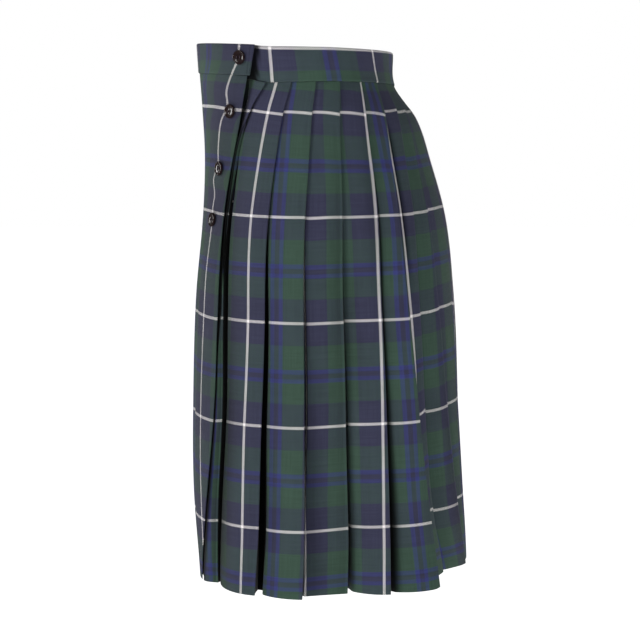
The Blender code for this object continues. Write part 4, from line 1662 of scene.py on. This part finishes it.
def twill_group() -> bpy.types.NodeTree:
    """Twill from a cloth map in metres: which yarn is on top, its relief, its streaks and its slubs.

    The yarn that runs down is on top where (across + down) over four yarns has a fractional part under
    WARP_SHARE. The relief of a yarn is the sine of the way across it.

    Returns:
        The group.
    """
    tree, ins, outs = new_group(
        "twill_weave",
        (("Cloth", "NodeSocketVector", None), ("Yarn", "NodeSocketFloat", YARN_WIDTH)),
        (("Warp on top", "NodeSocketFloat"), ("Relief", "NodeSocketFloat"), ("Streaks", "NodeSocketFloat"),
         ("Slubs", "NodeSocketFloat")),
    )
    g = Graph(tree)
    split = g.node("ShaderNodeSeparateXYZ")
    g.link(ins["Cloth"], split.inputs[0])
    across = g.math("DIVIDE", split.outputs[0], ins["Yarn"])
    down = g.math("DIVIDE", split.outputs[1], ins["Yarn"])
    yarns = g.math("ADD", g.math("FLOOR", across), g.math("FLOOR", down))
    diagonal = g.math("FRACT", g.math("MULTIPLY", yarns, 1 / TWILL_YARNS))
    top = g.math("LESS_THAN", diagonal, WARP_SHARE)
    warp_yarn = g.math("SINE", g.math("MULTIPLY", g.math("FRACT", across), math.pi))
    weft_yarn = g.math("SINE", g.math("MULTIPLY", g.math("FRACT", down), math.pi))
    relief = g.math("ADD", g.math("MULTIPLY", warp_yarn, top),
                    g.math("MULTIPLY", weft_yarn, g.math("SUBTRACT", 1.0, top)))
    warp_hash = g.node("ShaderNodeTexWhiteNoise", noise_dimensions="1D")
    g.link(g.math("FLOOR", across), warp_hash.inputs["W"])
    weft_hash = g.node("ShaderNodeTexWhiteNoise", noise_dimensions="1D")
    g.link(g.math("ADD", g.math("FLOOR", down), WEFT_TONES), weft_hash.inputs["W"])
    streak = g.mix(top, weft_hash.outputs["Color"], warp_hash.outputs["Color"])
    bright = g.node("ShaderNodeRGBToBW")
    g.link(streak, bright.inputs[0])
    g.link(top, outs["Warp on top"])
    g.link(relief, outs["Relief"])
    g.link(bright.outputs[0], outs["Streaks"])
    slubs = []
    for x_scale, y_scale in (SLUB_SCALES, SLUB_SCALES[::-1]):
        place = g.node("ShaderNodeCombineXYZ")
        g.link(g.math("MULTIPLY", across, x_scale), place.inputs[0])
        g.link(g.math("MULTIPLY", down, y_scale), place.inputs[1])
        noise = g.node("ShaderNodeTexNoise", noise_dimensions="2D")
        noise.inputs["Scale"].default_value = 1.0
        noise.inputs["Detail"].default_value = SLUB_DETAIL
        g.link(place.outputs[0], noise.inputs["Vector"])
        slubs.append(noise.outputs["Fac"])
    g.link(g.math("ADD", g.math("MULTIPLY", slubs[0], 0.5), g.math("MULTIPLY", slubs[1], 0.5)), outs["Slubs"])
    return tree


def fuzz_group() -> bpy.types.NodeTree:
    """Short wool nap and slow tone change from object coordinates: two noises, one fine and one broad.

    Returns:
        The group.
    """
    tree, ins, outs = new_group(
        "wool_nap",
        (("Place", "NodeSocketVector", None), ("Fineness", "NodeSocketFloat", NAP_NOISE[0])),
        (("Nap", "NodeSocketFloat"), ("Tone", "NodeSocketFloat")),
    )
    g = Graph(tree)
    fine = g.node("ShaderNodeTexNoise")
    fine.inputs["Detail"].default_value = NAP_NOISE[1]
    g.link(ins["Place"], fine.inputs["Vector"])
    g.link(ins["Fineness"], fine.inputs["Scale"])
    broad = g.node("ShaderNodeTexNoise")
    broad.inputs["Scale"].default_value = TONE_NOISE[0]
    broad.inputs["Detail"].default_value = TONE_NOISE[1]
    g.link(ins["Place"], broad.inputs["Vector"])
    g.link(fine.outputs["Fac"], outs["Nap"])
    g.link(broad.outputs["Fac"], outs["Tone"])
    return tree


def linear(colour: tuple) -> tuple:
    """An opaque linear colour from display values of 0 to 255, by the curve of ordinary screens.

    Args:
        colour: red, green and blue.

    Returns:
        The linear red, green and blue, and 1 for opaque.
    """
    shares = np.array(colour, float) / 255
    lit = np.where(shares <= 0.04045, shares / 12.92, ((shares + 0.055) / 1.055) ** 2.4)
    return (*lit.tolist(), 1.0)


@dataclass(frozen=True)
class Check:
    """The woven check: yarn colours and the stripes of one repeat, the same across and down."""

    white: tuple = (250, 245, 245)
    navy: tuple = (59, 60, 82)
    green: tuple = (62, 84, 72)
    blue: tuple = (60, 65, 122)
    # Where each stripe starts, in 105ths of the repeat, from the white line's middle.
    stripes: tuple = (
        ("white", 0.0), ("navy", 1.35), ("green", 22.5), ("blue", 46.5), ("navy", 51.0), ("blue", 56.0),
        ("green", 60.0), ("navy", 81.0), ("white", 103.65),
    )
    parts: float = 105.0

    def stops(self) -> list[tuple[float, tuple]]:
        """The stripes as places in the repeat and linear colours."""
        return [(start / self.parts, linear(getattr(self, name))) for name, start in self.stripes]

    def group(self) -> bpy.types.NodeTree:
        """Colour of the yarns at a place given in metres, repeated.

        Returns:
            The group.
        """
        tree, ins, outs = new_group(
            "yarn_stripes",
            (("Place", "NodeSocketFloat", 0.0), ("Repeat", "NodeSocketFloat", WARP_REPEAT)),
            (("Color", "NodeSocketColor"),),
        )
        g = Graph(tree)
        place = g.math("FRACT", g.math("DIVIDE", ins["Place"], ins["Repeat"]))
        g.link(g.steps(place, self.stops()), outs["Color"])
        return tree


@dataclass(frozen=True)
class CheckedWool:
    """Fine wool twill in the check: matt, with a short nap and a slight sheen."""

    name: str = "tartan_wool_twill"
    roughness: float = 0.85
    sheen: float = 0.08
    sheen_roughness: float = 0.45
    specular: float = 0.15
    yarn: float = YARN_WIDTH
    relief: float = 0.12 * MM
    relief_strength: float = 0.6
    nap_height: float = 0.8  # the nap's relief as a share of the yarns'
    streak_depth: float = 0.22  # spread of the brightness from yarn to yarn
    slub_depth: float = 0.5  # along the yarns
    tone_depth: float = 0.2  # and from place to place
    check: Check = field(default_factory=Check)

    def material(self) -> bpy.types.Material:
        """Wire the finish.

        Returns:
            The material.
        """
        made, g, shader = new_finish(self.name, {
            "Roughness": self.roughness,
            "Sheen Weight": self.sheen,
            "Sheen Roughness": self.sheen_roughness,
            "Specular IOR Level": self.specular,
        })
        cloth = g.node("ShaderNodeUVMap", uv_map="cloth")
        place = g.node("ShaderNodeTexCoord")
        weave = g.node("ShaderNodeGroup", node_tree=twill_group())
        weave.inputs["Yarn"].default_value = self.yarn
        g.link(cloth.outputs["UV"], weave.inputs["Cloth"])
        split = g.node("ShaderNodeSeparateXYZ")
        g.link(cloth.outputs["UV"], split.inputs[0])
        stripes = self.check.group()
        yarns = []
        for axis, repeat in ((0, WARP_REPEAT), (1, WEFT_REPEAT)):
            node = g.node("ShaderNodeGroup", node_tree=stripes)
            node.inputs["Repeat"].default_value = repeat
            g.link(split.outputs[axis], node.inputs["Place"])
            yarns.append(node.outputs["Color"])
        woven = g.mix(weave.outputs["Warp on top"], yarns[1], yarns[0])
        nap = g.node("ShaderNodeGroup", node_tree=fuzz_group())
        g.link(place.outputs["Object"], nap.inputs["Place"])
        spreads = ((weave.outputs["Streaks"], self.streak_depth), (nap.outputs["Tone"], self.tone_depth),
                   (weave.outputs["Slubs"], self.slub_depth))
        streak, tone, slub = (g.math("MULTIPLY_ADD", noise, depth, 1 - depth / 2) for noise, depth in spreads)
        shade = g.math("MULTIPLY", g.math("MULTIPLY", streak, tone), slub)
        grey = g.node("ShaderNodeCombineColor")
        for socket in grey.inputs:
            g.link(shade, socket)
        coloured = g.mix(1.0, woven, grey.outputs[0], "MULTIPLY")
        # painted shade: the fold_shade attribute mixes the cloth's colour towards black
        unlit_share = g.node("ShaderNodeAttribute", attribute_name=SHADE)
        g.link(g.mix(unlit_share.outputs["Fac"], coloured, (0.0, 0.0, 0.0, 1.0)), shader.inputs["Base Color"])
        height = g.math("MULTIPLY_ADD", nap.outputs["Nap"], self.nap_height, weave.outputs["Relief"])
        bump = g.node("ShaderNodeBump")
        bump.inputs["Strength"].default_value = self.relief_strength
        bump.inputs["Distance"].default_value = self.relief
        g.link(height, bump.inputs["Height"])
        g.link(bump.outputs["Normal"], shader.inputs["Normal"])
        return made


@dataclass(frozen=True)
class DarkPlastic:
    """Glossy, very dark brown button plastic, with faint clouding of its colour and its gloss."""

    name: str = "dark_brown_button"
    colour: tuple = (22, 14, 16)
    cloud: tuple = (44, 30, 29)
    cloud_scale: float = 420.0  # waves a metre
    cloud_detail: float = 5.0
    cloud_share: float = 0.9  # of the cloud's colour where it is thickest
    roughness: float = 0.16
    rough_spread: tuple = (-0.05, 0.14)  # what the clouding adds to it: the least, and how much more
    coat: float = 0.2
    coat_roughness: float = 0.08
    specular: float = 0.3

    def material(self) -> bpy.types.Material:
        """Wire the finish.

        Returns:
            The material.
        """
        made, g, shader = new_finish(self.name, {
            "Coat Weight": self.coat,
            "Coat Roughness": self.coat_roughness,
            "Specular IOR Level": self.specular,
        })
        place = g.node("ShaderNodeTexCoord")
        clouds = g.node("ShaderNodeTexNoise")
        clouds.inputs["Scale"].default_value = self.cloud_scale
        clouds.inputs["Detail"].default_value = self.cloud_detail
        g.link(place.outputs["Object"], clouds.inputs["Vector"])
        share = g.math("MULTIPLY", clouds.outputs["Fac"], self.cloud_share)
        g.link(g.mix(share, linear(self.colour), linear(self.cloud)), shader.inputs["Base Color"])
        least, spread = self.rough_spread
        rough = g.math("MULTIPLY_ADD", clouds.outputs["Fac"], spread, self.roughness + least)
        g.link(rough, shader.inputs["Roughness"])
        return made


@dataclass(frozen=True)
class DarkThread:
    """Twisted sewing thread, nearly black with a purple cast."""

    name: str = "dark_thread"
    colour: tuple = (48, 33, 50)
    roughness: float = 0.6
    ply_scale: float = 900.0  # bands a metre
    ply_groove_shade: float = 0.55  # painted shade in the grooves between the plies: their brightness as a share of the colour's

    def material(self) -> bpy.types.Material:
        """Wire the finish: slanting plies as bands of object coordinates, with painted shade between them.

        Returns:
            The material.
        """
        made, g, shader = new_finish(self.name, {"Roughness": self.roughness})
        place = g.node("ShaderNodeTexCoord")
        plies = g.node("ShaderNodeTexWave", bands_direction="DIAGONAL")
        plies.inputs["Scale"].default_value = self.ply_scale
        g.link(place.outputs["Object"], plies.inputs["Vector"])
        # painted shade: the grooves between the plies are coloured darker
        dark = tuple(self.ply_groove_shade * part for part in linear(self.colour)[:3]) + (1.0,)
        g.link(g.mix(plies.outputs["Fac"], dark, linear(self.colour)), shader.inputs["Base Color"])
        return made


@dataclass(frozen=True)
class Lamp:
    """A square soft light: where it stands, what it is turned towards, its side and its power."""

    name: str
    place: tuple
    target: tuple
    size: float
    power: float
    glossy: bool = True  # whether it shows as a reflection
    diffuse: bool = True  # whether it lights dull surfaces


@dataclass
class Studio:
    """Camera at the photograph's angle, soft studio light, a plain pale floor and a white surround."""

    distance: float = 2.06  # of the camera from the origin along +X, in metres
    aside: float = 0.0277  # along +Y
    height: float = -0.028
    down: float = math.radians(7.0)  # how far it looks down
    focal_pixels: float = 1864.0
    photo_width: float = 640.0  # in the same pixels
    sensor: float = 36.0  # millimetres
    view_end: float = 50.0
    ambient: float = 0.11  # strength of the surround as light; the camera sees it full white
    floor: float = -1.05  # height of the floor
    floor_half: float = 12.0
    floor_tone: float = 0.93
    floor_roughness: float = 0.9
    lamps: tuple = (
        Lamp("key", (1.5, -1.7, 0.7), (0.0, 0.0, -0.25), 0.8, 20.0),
        Lamp("side", (-0.75, -1.5, 0.15), (0.1, -0.08, -0.1), 0.25, 1.9, glossy=False),
        Lamp("front", (2.3, 1.1, 0.9), (0.0, 0.0, -0.25), 1.2, 12.5, glossy=False),
        Lamp("glint", (-0.45, -1.6, 0.05), (0.12, -0.07, -0.1), 0.45, 8.0, diffuse=False),
    )

    def camera(self) -> None:
        """A long lens at the wearer's left, looking along -X and a little down."""
        data = bpy.data.cameras.new("camera")
        data.sensor_width = self.sensor
        data.lens = self.focal_pixels / self.photo_width * self.sensor
        data.clip_end = self.view_end
        made = bpy.data.objects.new("camera", data)
        bpy.context.scene.collection.objects.link(made)
        made.location = (self.distance, self.aside, self.height)
        look = Vector((-math.cos(self.down), 0.0, -math.sin(self.down)))
        made.rotation_euler = look.to_track_quat("-Z", "Y").to_euler()
        bpy.context.scene.camera = made

    def light(self, lamp: Lamp) -> None:
        """Set up one soft light.

        Args:
            lamp: its place, size and power.
        """
        data = bpy.data.lights.new(lamp.name, "AREA")
        data.shape = "SQUARE"
        data.size = lamp.size
        data.energy = lamp.power
        made = bpy.data.objects.new(lamp.name, data)
        bpy.context.scene.collection.objects.link(made)
        made.location = lamp.place
        aim = Vector(lamp.target) - Vector(lamp.place)
        made.rotation_euler = aim.to_track_quat("-Z", "Y").to_euler()
        made.visible_glossy = lamp.glossy
        made.visible_diffuse = lamp.diffuse

    def surround(self) -> None:
        """A white world: full white where the camera sees it, softer as light."""
        world = bpy.data.worlds.new("surround")
        bpy.context.scene.world = world
        world.use_nodes = True
        g = Graph(world.node_tree)
        back = world.node_tree.nodes["Background"]
        back.inputs["Color"].default_value = (1.0, 1.0, 1.0, 1.0)
        path = g.node("ShaderNodeLightPath")
        strength = g.math("MULTIPLY_ADD", path.outputs["Is Camera Ray"], 1 - self.ambient, self.ambient)
        g.link(strength, back.inputs["Strength"])

    def stage_floor(self) -> None:
        """A wide pale floor well below the hem, where the wearer would stand."""
        corners = np.array([(-1, -1), (1, -1), (1, 1), (-1, 1)]) * self.floor_half
        points = np.column_stack([corners, np.full(len(corners), self.floor)])
        white = new_finish("pale_floor", {
            "Base Color": (*[self.floor_tone] * 3, 1.0),
            "Roughness": self.floor_roughness,
            "Emission Color": (1.0, 1.0, 1.0, 1.0),
            "Emission Strength": 1.0,
        })[0]
        floor = add_mesh("floor", points, np.array([[0, 1, 2, 3]]), white)
        floor.visible_glossy = False

    def build(self) -> None:
        """Set the stage."""
        self.camera()
        self.surround()
        self.stage_floor()
        for lamp in self.lamps:
            self.light(lamp)
        bpy.context.scene.view_settings.view_transform = "Standard"
        bpy.context.scene.view_settings.look = "None"


def main() -> None:
    """Build the stage and every piece of the skirt, and report each piece."""
    logging.basicConfig(level=logging.INFO, format="%(message)s")
    Studio().build()
    wool = CheckedWool().material()
    drape = Drape()
    aprons = Aprons(drape)
    band = Waistband()
    pieces = [band.build(wool), aprons.build_under(wool)]
    for name, first, last in (("pleats_left", 1, 6), ("pleats_back", 7, 12), ("pleats_right", 13, 18)):
        pieces.append(PleatedLength(name, first, last, drape).build(wool))
    pieces.append(aprons.build_over(wool))
    pieces += Buttons().build(aprons, band, DarkPlastic().material(), DarkThread().material())
    for piece in pieces:
        log.info("%s: %d faces", piece.name, len(piece.data.polygons))


if __name__ == "__main__":
    main()
